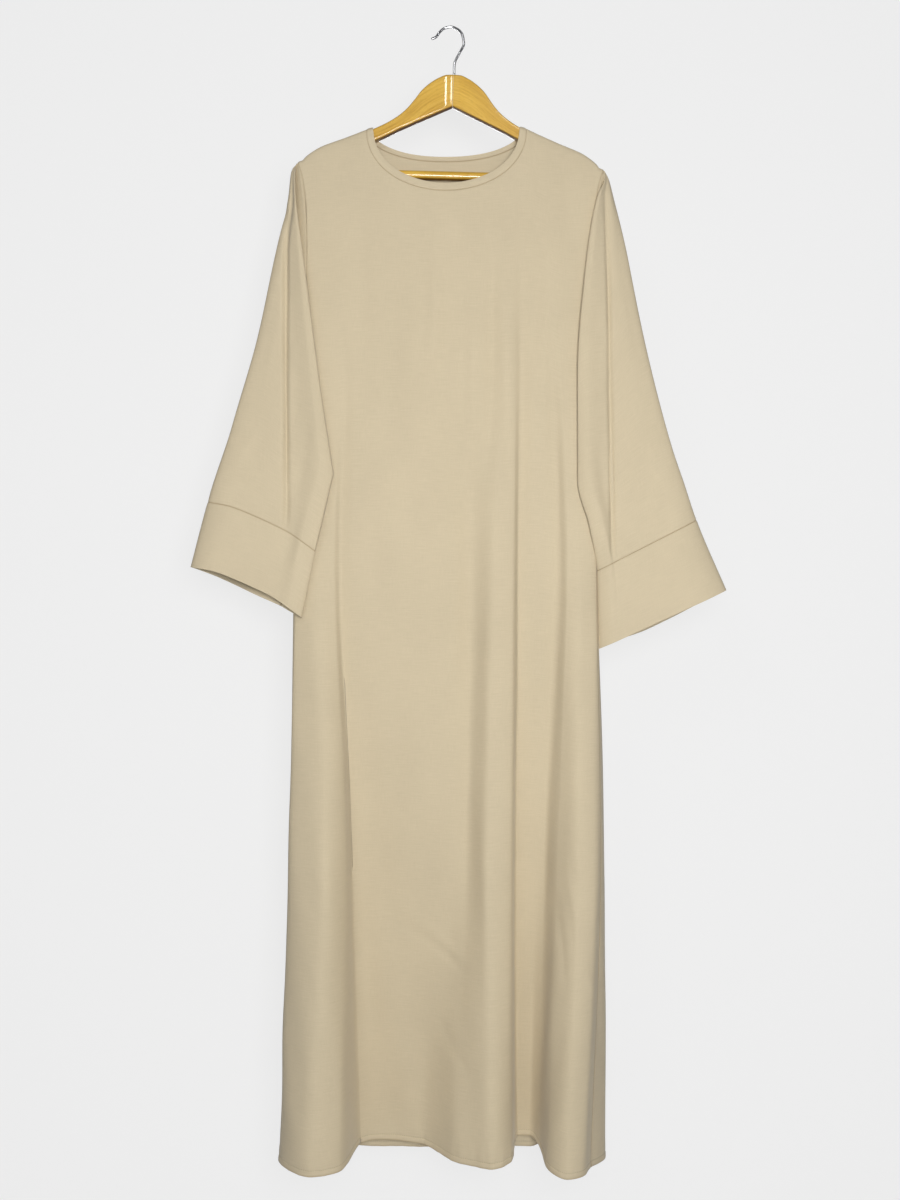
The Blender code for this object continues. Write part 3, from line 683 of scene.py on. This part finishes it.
def cloth(node, points, lay, seam, wall, finish, ring=False, flip=False):
    """A piece of cloth: the grid with its wall, and the attribute seam that marks where it is sewn and, on
    the panels, the hem's edge, whose dark line is partly painted shadow.
    """
    piece = add_surface(node + "_cloth", points, lay, ring=ring, flip=flip)
    mark = piece.data.attributes.new("seam", "FLOAT", "POINT")
    mark.data.foreach_set("value", np.clip(seam, 0, 1).astype(np.float32).ravel())
    thick = piece.modifiers.new("wall", "SOLIDIFY")
    thick.thickness, thick.offset = wall * MM, 0
    thick.use_even_offset = False
    dress(piece, node, finish)
    return piece


PANEL_RUMPLE, ARMHOLE_SHOWN, SEAM_LINE, SEAM_DIP = 0.55, 0.35, 0.7, 1.2
HELD_AT_SIDES, HELD_BELOW_TOP, FREE_AFTER = 10, 14, 30
WIDER_LINE_FROM, WIDER_LINE_OVER, WIDER_LINE = KNEE + 100, 200, 0.5
NECK_SHOWN, NECK_SHOWN_BEHIND, NECK_DIP, EDGES_SUNK = 0.6, 0.4, 1.6, 0.4
# The hem's edge gets a dark line in the seam colour: partly the folded edge's own line, partly painted
# shadow along it.
HEM_EDGE_LINE_AND_SHADOW_SHOWN, HEM_EDGE_LINE_AND_SHADOW_WIDTH = 0.8, 1.3
front_plan, back_plan = panel(FRONT_FOLDS), panel(BACK_FOLDS)
hole = len(TOP_ROWS) + len(TOP_SHARES) + ARMHOLE_ROWS_BELOW_CHEST
crepe = beige_crepe("beige_crepe", 0.16, 0.10, True)


def finish_panel(plan, folds, creases, flip, seed):
    """(points, lay, seam) of a panel: creased, rumpled and hemmed, but held at its sewn edges, which dip."""
    lay = lay_flat(plan, level=True)
    from_sides, from_top, from_hem = from_both_sides(plan), run_along(plan, 0), lay[..., 1]
    free = grown(from_sides, HELD_AT_SIDES) * grown(from_top - HELD_BELOW_TOP, FREE_AFTER)
    made = rumpled(creased(plan, creases, flip), lay, flip, PANEL_RUMPLE, seed)
    made = hemmed(plan + (made - plan) * free[..., None], lay, flip)
    neck = at_neck(folds)
    side_line = SEAM_LINE + WIDER_LINE * grown(WIDER_LINE_FROM - plan[..., 2], WIDER_LINE_OVER)
    shown = np.where(plan[..., 2] > ARMPIT, ARMHOLE_SHOWN, 1.0)
    neck_shown = (NECK_SHOWN_BEHIND if flip else NECK_SHOWN) * neck
    seam = np.maximum(shown * near(from_sides, side_line), neck_shown * near(from_top, SEAM_LINE))
    # Partly painted shadow: a dark line along the hem's edge, which is partly the edge's own line.
    seam = np.maximum(seam, HEM_EDGE_LINE_AND_SHADOW_SHOWN * near(from_hem, HEM_EDGE_LINE_AND_SHADOW_WIDTH))
    sunk = -EDGES_SUNK * np.maximum(shown * near(from_sides, SEAM_DIP), near(from_top, NECK_DIP) * neck)
    return moved_out(made, sunk, flip), lay, seam


front_points, front_lay, front_seam = finish_panel(front_plan, FRONT_FOLDS, FRONT_CREASES, False, 3)

# The back panel: the same width of crepe with a shallow neck. It is sewn to the front at the shoulders and
# side seams, hangs deeper than the front because it is the longer, and its folds fall between the front's.
BACK_FLAT, BACK_AREA = (0.72, 1.42), 0.64
BACK_CREASES = table(
    Crease,
    ((-120, -260), (-128, -560), 3, 10, 0.8),
    ((-60, -280), (-64, -620), -2, 12, -0.9),
    ((-10, -240), (-14, -560), 2, 10, 0.9),
    ((46, -270), (44, -660), -3, 12, -1.0),
    ((100, -250), (108, -600), 2, 10, 0.9),
    ((150, -300), (156, -700), -2, 11, -0.8),
    ((-150, -620), (-168, -1000), 4, 12, 0.9),
    ((-30, -700), (-40, -1180), -3, 14, -1.0),
    ((70, -740), (60, -1120), 4, 12, 0.9),
    ((-120, -1120), (-60, -1180), 5, 6, -0.8),
    ((0, -1210), (46, -1300), -4, 6, 0.8),
    ((120, -1150), (165, -1230), 4, 6, -0.8),
    ((-190, -1260), (-150, -1340), 5, 6, 0.7),
    ((90, -1360), (130, -1430), -3, 7, 0.7),
    ((-80, -900), (-30, -940), 3, 5, 0.5),
)
back_points, back_lay, back_seam = finish_panel(back_plan, BACK_FOLDS, BACK_CREASES, True, 8)

# The sleeves: one piece each, folded over the arm and closed by a seam under it. They are set into the
# armholes and hang in front of the body's sides, pressed nearly flat, with a soft valley down the middle.
# Sections down a sleeve, right or left as it is worn. seam, fold and outer are (x, z, depth); above the
# armpit the seam is the armhole.
Section = namedtuple("Section", "name at seam turn fold outer valley crown back bow")
RIGHT_SLEEVE = table(
    Section,
    ("tip", 0, (-206, -182.5, 1), (-207.5, 3), (-208, -185.4, 3.4), (-209, -185.8, 0),
     (0.5, 0.2), (2, 1.5), (-2, -1.5), 0),
    ("head", 0.22, (-204, -193, 8), (-209.5, 2.5), (-209.5, -195.5, 9.5), (-214.6, -193, 0),
     (0.5, 0.4), (7.5, 4), (-4.5, -3), 0),
    ("upper", 1, (-198, -232, 9), (-211, -0.5), (-207.5, -233, 14), (-219.5, -230, 1),
     (0.5, 1), (15, 8), (-10, -7), 0),
    ("chest", 2, (-193.5, -300, 9), (-204.5, 4), (-199, -304, 17), (-233, -292, 2),
     (0.6, 2.2), (18, 9), (-10, -10), 1),
    ("armpit", 3, (-199, -456, 0), (-203, 11), (-176.5, -473, 19), (-262, -427, 5),
     (0.48, 3), (22, 13), (-4, -10), 3),
    ("above elbow", 3.9, (-207, -563, 12.6), (-196.7, 14.2), (-159, -590, 19), (-291.7, -532, 7.7),
     (0.435, 3.8), (23.8, 15), (10.4, -10), 5.7),
    ("elbow", 4, (-208, -575, 14), (-196, 14.5), (-157, -603, 19), (-295, -544, 8),
     (0.43, 4), (24, 15.5), (12, -10), 6),
    ("below elbow", 4.1, (-208.8, -586, 13.8), (-196.7, 14.6), (-159.4, -613.4, 19.1),
     (-298, -554, 8), (0.412, 4), (24, 15.6), (11.6, -10.4), 6.6),
    ("cuff seam", 5, (-216, -690, 12), (-203, 15.5), (-181, -707, 20), (-326, -641, 8),
     (0.25, 2.5), (25, 18), (8, -14), 12),
    ("cuff edge", 6, (-228, -780, 8), (-215, 12), (-200, -795, 17), (-349, -728, 8),
     (0.27, 0.6), (24, 20), (3, -18), 13),
)
LEFT_SLEEVE = table(
    Section,
    ("tip", 0, (205.5, -193, 1), (207, 3), (207.3, -195.6, 3.4), (208.4, -196, 0),
     (0.5, 0.2), (2, 1.5), (-2, -1.5), 0),
    ("head", 0.25, (203, -204, 8), (206, 6.5), (207, -205.5, 8.5), (213, -205, 0),
     (0.5, 0.4), (7.5, 4), (-4.5, -3), 0),
    ("upper", 1, (198, -232, 9), (203, -2), (196, -232, 15), (219, -230, 1),
     (0.5, 2), (17, 9), (-10, -7), 0),
    ("chest", 2, (193.5, -300, 9), (199, 12), (183, -304, 18), (234, -292, 2),
     (0.55, 2.2), (20, 9), (-10, -10), 0),
    ("armpit", 3, (198, -456, 2), (203, 12), (169, -473, 19), (261, -427, 4),
     (0.47, 2.6), (22, 13), (-4, -10), 0),
    ("elbow", 4, (207, -590, 12), (196, 13), (169, -612, 17), (296, -564, 7),
     (0.35, 3.4), (23, 14), (11, -11), 0),
    ("lower", 4.5, (210, -655, 9), (203, 12), (185, -672, 16), (313, -615, 7),
     (0.27, 3.6), (21, 14.5), (7, -12), 0),
    ("cuff seam", 5, (219, -722, -3), (208, -3), (197, -733, 4.5), (330, -665, 6),
     (0.18, 2.5), (14, 16), (-6, -14), 0),
    ("cuff edge", 6, (229, -825, -6), (214, -6), (199.6, -838, 1), (370, -759, 6),
     (0.2, 1), (13, 18), (-9, -18), 0),
)
SLEEVE_SPANS = (5, 7, 5, 26, 28, 8, 8, 16, 9)
SLEEVE_ROWS_BELOW, CUFF_ROWS = 62, 22
SLEEVE_EDGE_COLUMNS = (0.04, 0.1, 8.9, 8.96)
SLEEVE_EVEN_ROWS, SLEEVE_LAST_ROWS = (0, 0.97), (0.988, 0.996, 0.9997)
CUFF_FIRST_ROWS, CUFF_EVEN_ROWS, CUFF_LAST_ROWS = (0.0006, 0.008, 0.02), (0.045, 0.95), (0.98, 1)
SEAM_LEVEL, CUFF_LEVEL = 3, 5
CROWN_SHARES, BACK_SHARES = (0.12, 0.8), (0.6, 0.35)
SLEEVE_RUMPLE, TUBE_HELD, HELD_AT_CUFF, FREE_FROM_HEAD = 0.45, 12, 14, 60
ROUND_SEAM_LINE, TUBE_SUNK = 0.6, 0.5
BACK_BOW_DROP, CUFF_BACK_DROP = 6.0, 5.0
RIGHT_CREASES = table(
    Crease,
    ((-212, -205), (-221, -300), 1, 3.4, -2.6),
    ((-221.5, -240), (-221.5, -470), 0, 3.8, -5.0),
    ((-221.5, -400), (-219.5, -682), 0, 3.8, -6.0),
    ((-217, -620), (-223, -700), 0, 4.5, -1.6),
    ((-214, -240), (-226, -400), 1, 5, 0.6),
    ((-228, -330), (-262, -500), 2, 6, -0.7),
    ((-206, -420), (-222, -560), -2, 7, 0.8),
    ((-190, -520), (-206, -640), 3, 7, -0.7),
    ((-250, -520), (-290, -600), 3, 8, 0.6),
    ((-176, -600), (-214, -560), 3, 6, 0.7),
    ((-240, -640), (-300, -600), 4, 7, -0.5),
    ((-270, -700), (-300, -680), 2, 5, 0.5),
)
LEFT_CREASES = table(
    Crease,
    ((206, -204), (212, -420), 1, 3.2, -2.6),
    ((212, -320), (213.5, -560), 0, 3.3, -3.6),
    ((213.5, -480), (217, -728), 0, 3.3, -4.2),
    ((214, -230), (226, -380), -1, 5, 0.6),
    ((232, -330), (262, -500), -2, 7, -0.7),
    ((184, -490), (214, -462), -3, 5, 1.0),
    ((188, -505), (222, -480), -3, 5, -0.8),
    ((200, -420), (206, -560), 2, 8, 0.7),
    ((196, -560), (214, -660), -3, 7, -0.8),
    ((250, -540), (296, -620), -3, 8, 0.6),
    ((220, -640), (262, -650), 3, 7, 0.6),
    ((272, -660), (304, -636), 2, 6, -0.6),
)


def section_points(section):
    """A section's points in turn: armhole, turn, fold, front layer and valley, outer edge, back layer."""
    fold, outer = np.array(section.fold, float), np.array(section.outer, float)
    valley, drop = section.valley
    seam, side = section.seam, -1 if section.at < SEAM_LEVEL else 1
    near_share, far_share = CROWN_SHARES

    def at(share, depth, bow):
        x, z, _ = fold + share * (outer - fold)
        return (x, -depth, z + bow * 4 * share * (1 - share))

    back_bow = section.bow - BACK_BOW_DROP * min(1, section.bow) - CUFF_BACK_DROP * (section.at > CUFF_LEVEL)
    return np.array([
        (seam[0], -seam[2], seam[1]),
        (section.turn[0], -section.turn[1], seam[1] + (fold[1] - seam[1]) / 2),
        (fold[0], -fold[2], fold[1]),
        at(near_share, section.crown[0], section.bow),
        at(valley, np.mean(section.crown) - drop, section.bow),
        at(far_share, section.crown[1], section.bow),
        (outer[0], -outer[2], outer[1]),
        at(far_share, section.back[1], back_bow),
        at(BACK_SHARES[section.at > SEAM_LEVEL], section.back[0], back_bow),
        (seam[0], -seam[2] * side, seam[1]),
    ])


def sleeve(sections, front_edge, back_edge):
    """(sleeve, cuff) rows of points from the sections; the sleeve's upper edges follow the armhole."""
    levels = [section.at for section in sections]
    rounds = np.array([section_points(section) for section in sections])
    above = [s for s in sections if s.at <= SEAM_LEVEL]
    armhole = np.interp(-front_edge[:, 2], [-s.seam[1] for s in above], [s.at for s in above])
    down_sleeve = np.append(np.linspace(*SLEEVE_EVEN_ROWS, SLEEVE_ROWS_BELOW), SLEEVE_LAST_ROWS)
    down_cuff = np.linspace(*CUFF_EVEN_ROWS, CUFF_ROWS)
    below = SEAM_LEVEL + (CUFF_LEVEL - SEAM_LEVEL) * down_sleeve
    cuff_rows = CUFF_LEVEL + np.concatenate([CUFF_FIRST_ROWS, down_cuff, CUFF_LAST_ROWS])
    spans = [i + np.arange(n) / n for i, n in enumerate(SLEEVE_SPANS)]
    places = np.unique(np.concatenate(spans + [SLEEVE_EDGE_COLUMNS, [len(SLEEVE_SPANS)]]))
    made = []
    for wanted in (np.concatenate([armhole[:-1], below]), cuff_rows):
        down = smooth(levels, rounds, wanted)
        made.append(smooth(range(rounds.shape[1]), down.transpose(1, 0, 2), places).transpose(1, 0, 2))
    grid, cuff = made
    count = len(armhole) - 1
    grid[:count, 0], grid[:count, -1] = front_edge[:count], back_edge[:count]
    return grid, cuff


def finish_tube(plan, lay, creases, flip, amount, seed, free, from_round_seam):
    """(points, seam) of a sleeve or cuff: creased and rumpled, but held at its sewn edges, which dip."""
    from_sides = from_both_sides(plan)
    made = rumpled(creased(plan, creases, flip), lay, flip, amount, seed)
    made = plan + (made - plan) * (grown(from_sides, TUBE_HELD) * free)[..., None]
    shown = np.where(plan[..., 2] > ARMPIT, ARMHOLE_SHOWN, 1.0)
    seam = np.maximum(shown * near(from_sides, SEAM_LINE), near(from_round_seam, ROUND_SEAM_LINE))
    sunk = -TUBE_SUNK * np.maximum(shown * near(from_sides, SEAM_DIP), near(from_round_seam, SEAM_DIP))
    return moved_out(made, sunk, flip), seam


def past_seam(round_hole, below_hole):
    """The points past a seam that runs round the armhole first and then on below it."""
    return np.concatenate([round_hole[:hole], below_hole[hole:]])


plain_crepe = beige_crepe("beige_crepe_unhemmed", 0.16, 0.10, False)
cuff_plans = {}
front_edges, back_edges = front_points.copy(), back_points.copy()
for side, sections, edge, inner, creases in (("right", RIGHT_SLEEVE, 0, 1, RIGHT_CREASES),
                                             ("left", LEFT_SLEEVE, -1, -2, LEFT_CREASES)):
    flip = side == "right"
    plan, cuff_plan = sleeve(sections, front_plan[:hole + 1, edge], back_plan[:hole + 1, edge])
    lay = lay_flat(plan)
    from_cuff = lay[..., 1]
    free = grown(from_cuff, HELD_AT_CUFF) * grown(run_along(plan, 0), FREE_FROM_HEAD)
    points, seam = finish_tube(plan, lay, creases, flip, SLEEVE_RUMPLE, 11 if flip else 12, free, from_cuff)
    points[:hole, 0], points[:hole, -1] = front_points[:hole, edge], back_points[:hole, edge]
    front_edges[:, edge] = draw_back(front_points, edge, past_seam(points[:, 1], back_points[:, inner]))
    back_edges[:, edge] = draw_back(back_points, edge, past_seam(points[:, -2], front_points[:, inner]))
    points[:, 0], points[:, -1] = (draw_back(points, 0, past_seam(front_points[:, inner], points[:, -2])),
                                   draw_back(points, -1, past_seam(back_points[:, inner], points[:, 1])))
    piece = cloth("sleeve_" + side, points, lay, seam, CLOTH, plain_crepe, flip=flip)
    cuff_plans[side] = cuff_plan

for node, points, lay, seam, flip, flat, area in (
    ("front_panel", front_edges, front_lay, front_seam, False, FRONT_FLAT, FRONT_AREA),
    ("back_panel", back_edges, back_lay, back_seam, True, BACK_FLAT, BACK_AREA),
):
    piece = cloth(node, points, lay, seam, CLOTH, crepe, flip=flip)

# The cuffs: a straight band of the same crepe for each wrist, doubled and sewn round the sleeve's end, so it
# is a little thicker and smoother than the sleeve and its edge is a plain fold.
CUFF_FLAT, CUFF_WALL, CUFF_RUMPLE = (0.36, 0.09), 1.6, 0.3
doubled_crepe = beige_crepe("beige_crepe_doubled", 0.13, 0.08, False)


def soften_edges(piece, width, segments):
    """Rounds the wall's edges, as the folds of a doubled band are."""
    soft = piece.modifiers.new("folded_edge", "BEVEL")
    soft.width, soft.segments = width * MM, segments
    soft.limit_method, soft.angle_limit = "ANGLE", SHARP


for side, plan in cuff_plans.items():
    flip = side == "right"
    lay, from_seam = lay_flat(plan), run_along(plan, 0)
    free = grown(from_seam, TUBE_HELD)
    made, seam = finish_tube(plan, lay, (), flip, CUFF_RUMPLE, 21, free, from_seam)
    made[:, 0], made[:, -1] = draw_back(made, 0, made[:, -2]), draw_back(made, -1, made[:, 1])
    piece = cloth("cuff_" + side, made, lay, seam, CUFF_WALL, doubled_crepe, flip=flip)
    soften_edges(piece, 0.5, 2)

# The neckband: a narrow bias strip folded over the raw neckline and sewn down along its lower edge, so it
# stands as a soft roll round the neck and rides up a little on the wood at both shoulders.
BAND_WIDTH, BAND_GAP, BAND_GAP_ON_WOOD, BAND_WALL = 10.0, 0.35, 0.6, 1.7
ARM_SLOPE, WOOD_REACH, WOOD_FADE, NECK_CORNER = 0.3, 8.6, 1.5, 0.9
BAND_SHARES = np.array([0, 0.03, 0.1, 0.25, 0.45, 0.65, 0.82, 0.93, 1.0])
BAND_NARROWER_BEHIND, FULLY_BEHIND, BAND_PUFF, BAND_ROUNDNESS = 1.3, 10, 0.45, 0.6
BAND_SEAM_DIP, BAND_SEAM_REACH, ROWS_TO_FOLLOW, LEAST_WAY = 0.35, 0.8, 5, 0.05


def neckband(front, back):
    """A ring round both necklines that carries the panels' surface on."""
    neck = np.concatenate([front[:, at_neck(FRONT_FOLDS)], back[:, at_neck(BACK_FOLDS)][:, ::-1]], 1)
    edge, down = neck[0], unit(neck[ROWS_TO_FOLLOW] - neck[0])
    along = unit(np.roll(edge, -1, 0) - np.roll(edge, 1, 0))
    out = (edge[:, :1] - NECK_CENTRE) / NECK_HALF_WIDTH
    way = (down * along).sum(1, keepdims=True) * along - down
    up_slope = np.abs(out) * (0, 0, ARM_SLOPE) - np.sign(out) * (1, 0, 0)
    on_wood = grown(WOOD_REACH - np.abs(edge[:, 1:2]), WOOD_FADE) * (np.abs(out) > NECK_CORNER)
    way = unit(unit(way, LEAST_WAY) * (1 - on_wood) + up_slope * on_wood)
    start = BAND_GAP + BAND_GAP_ON_WOOD * on_wood
    behind = np.clip(edge[:, 1:2] / FULLY_BEHIND, -1, 1)
    width = BAND_WIDTH - BAND_NARROWER_BEHIND * (1 + behind)
    return edge + (start + BAND_SHARES[:, None, None] * (width - start)) * way


points = neckband(front_plan, back_plan)
around = run_along(np.concatenate([points, points[:, :1]], 1), 1)
lay = np.stack([around, BAND_WIDTH * (1 - BAND_SHARES)[:, None] + 0 * around], -1)
from_seam = BAND_SHARES * BAND_WIDTH
puff = BAND_PUFF * np.sin(np.pi * BAND_SHARES).clip(0) ** BAND_ROUNDNESS
puff -= BAND_SEAM_DIP * near(from_seam, BAND_SEAM_REACH)
points = moved_out(points, puff[:, None], True)
seam = NECK_SHOWN * near(from_seam, ROUND_SEAM_LINE)[:, None] + 0 * points[..., 0]
band = cloth("neckband", points, lay, seam, BAND_WALL, doubled_crepe, ring=True, flip=True)
soften_edges(band, 0.6, 3)

# The set: a pale wall close behind, a pale floor below the hem, a soft light in front, two weaker ones above
# it and one behind. The wall shows only from its front and lets light through, so the back is lit too.
WALL_Y, FLOOR_Z, SET_HALF = 150.0, -1800.0, 6000.0
CAMERA_AT, SENSOR, IMAGE_TALL, FOCAL_PIXELS = (-1.1, -1600.0, -772.0), 36.0, 1200, 1185.2
BACKDROP, EVENNESS = (0.862, 0.862, 0.862), 0.88


def pale_paint(name, one_sided):
    """Flat pale paint; where it is one-sided it shows to the camera from its front alone."""
    made, nodes, links, shader = new_material(name)
    grain = stretched_noise(nodes, links, nodes.new("ShaderNodeTexCoord").outputs["Object"], (3, 3, 3))
    tone = ramp(nodes, links, grain, ((0.3, BACKDROP), (0.7, tuple(c * 1.01 for c in BACKDROP))))
    links.new(tone, shader.inputs["Base Color"])
    fill_in(shader, {"Roughness": 0.9, "Specular IOR Level": 0.0})
    if one_sided:
        path, facing = nodes.new("ShaderNodeLightPath"), nodes.new("ShaderNodeNewGeometry")
        even, clear = nodes.new("ShaderNodeEmission"), nodes.new("ShaderNodeBsdfTransparent")
        blend, mix = nodes.new("ShaderNodeMixShader"), nodes.new("ShaderNodeMixShader")
        fill_in(even, {"Color": (*BACKDROP, 1)})
        fill_in(blend, {"Fac": EVENNESS})
        minus, = math_nodes(nodes, links, "SUBTRACT")
        seen = minus(path.outputs["Is Camera Ray"], facing.outputs["Backfacing"])
        seen.node.use_clamp = True
        for source, socket in ((shader.outputs[0], blend.inputs[1]), (even.outputs[0], blend.inputs[2]),
                               (seen, mix.inputs["Fac"]), (clear.outputs[0], mix.inputs[1]),
                               (blend.outputs[0], mix.inputs[2])):
            links.new(source, socket)
        links.new(mix.outputs[0], nodes["Material Output"].inputs["Surface"])
    return made


def set_plane(name, corners, finish):
    """A flat four-cornered part of the set."""
    mesh = bpy.data.meshes.new(name)
    mesh.from_pydata([tuple(c * MM for c in corner) for corner in corners], [], [(0, 1, 2, 3)])
    mesh.materials.append(finish)
    placed(name, mesh)


CORNERS = ((-1, -1), (1, -1), (1, 1), (-1, 1))
set_plane("wall", [(SET_HALF * x, WALL_Y, SET_HALF if up > 0 else FLOOR_Z) for x, up in CORNERS],
          pale_paint("wall_paint", True))
set_plane("floor", [(SET_HALF * x, SET_HALF * y, FLOOR_Z) for x, y in CORNERS],
          pale_paint("floor_paint", False))


def soft_light(name, at, towards, size, watts):
    """A square area light at a place, facing another."""
    light = bpy.data.lights.new(name, "AREA")
    light.shape, light.size, light.energy = "SQUARE", size * MM, watts
    x, y, z = np.subtract(towards, at)
    turned = math.atan2(math.hypot(x, y), -z), 0, math.atan2(-x, y)
    placed(name, light, at).rotation_euler = turned


soft_light("key", (180, -1800, -600), (0, 0, -690), 650, 29.4)
soft_light("high_left", (-900, -1900, 900), (0, 0, -600), 700, 7.8)
soft_light("high_right", (235, -1800, 690), (0, 0, -100), 110, 1.1)
soft_light("behind", (-500, 2400, 300), (0, 0, -700), 900, 26)

world = bpy.data.worlds.new("studio")
world.use_nodes = True
fill_in(world.node_tree.nodes["Background"], {"Color": (0.95, 0.96, 1.0, 1), "Strength": 0.125})
bpy.context.scene.world = world

camera = bpy.data.cameras.new("camera")
camera.sensor_width, camera.lens = SENSOR, SENSOR * FOCAL_PIXELS / IMAGE_TALL
camera.clip_start, camera.clip_end = 0.05, 50
viewer = placed("camera", camera, CAMERA_AT)
viewer.rotation_euler = (math.pi / 2, 0, 0)
bpy.context.scene.camera = viewer
bpy.context.scene.view_settings.view_transform = "Standard"
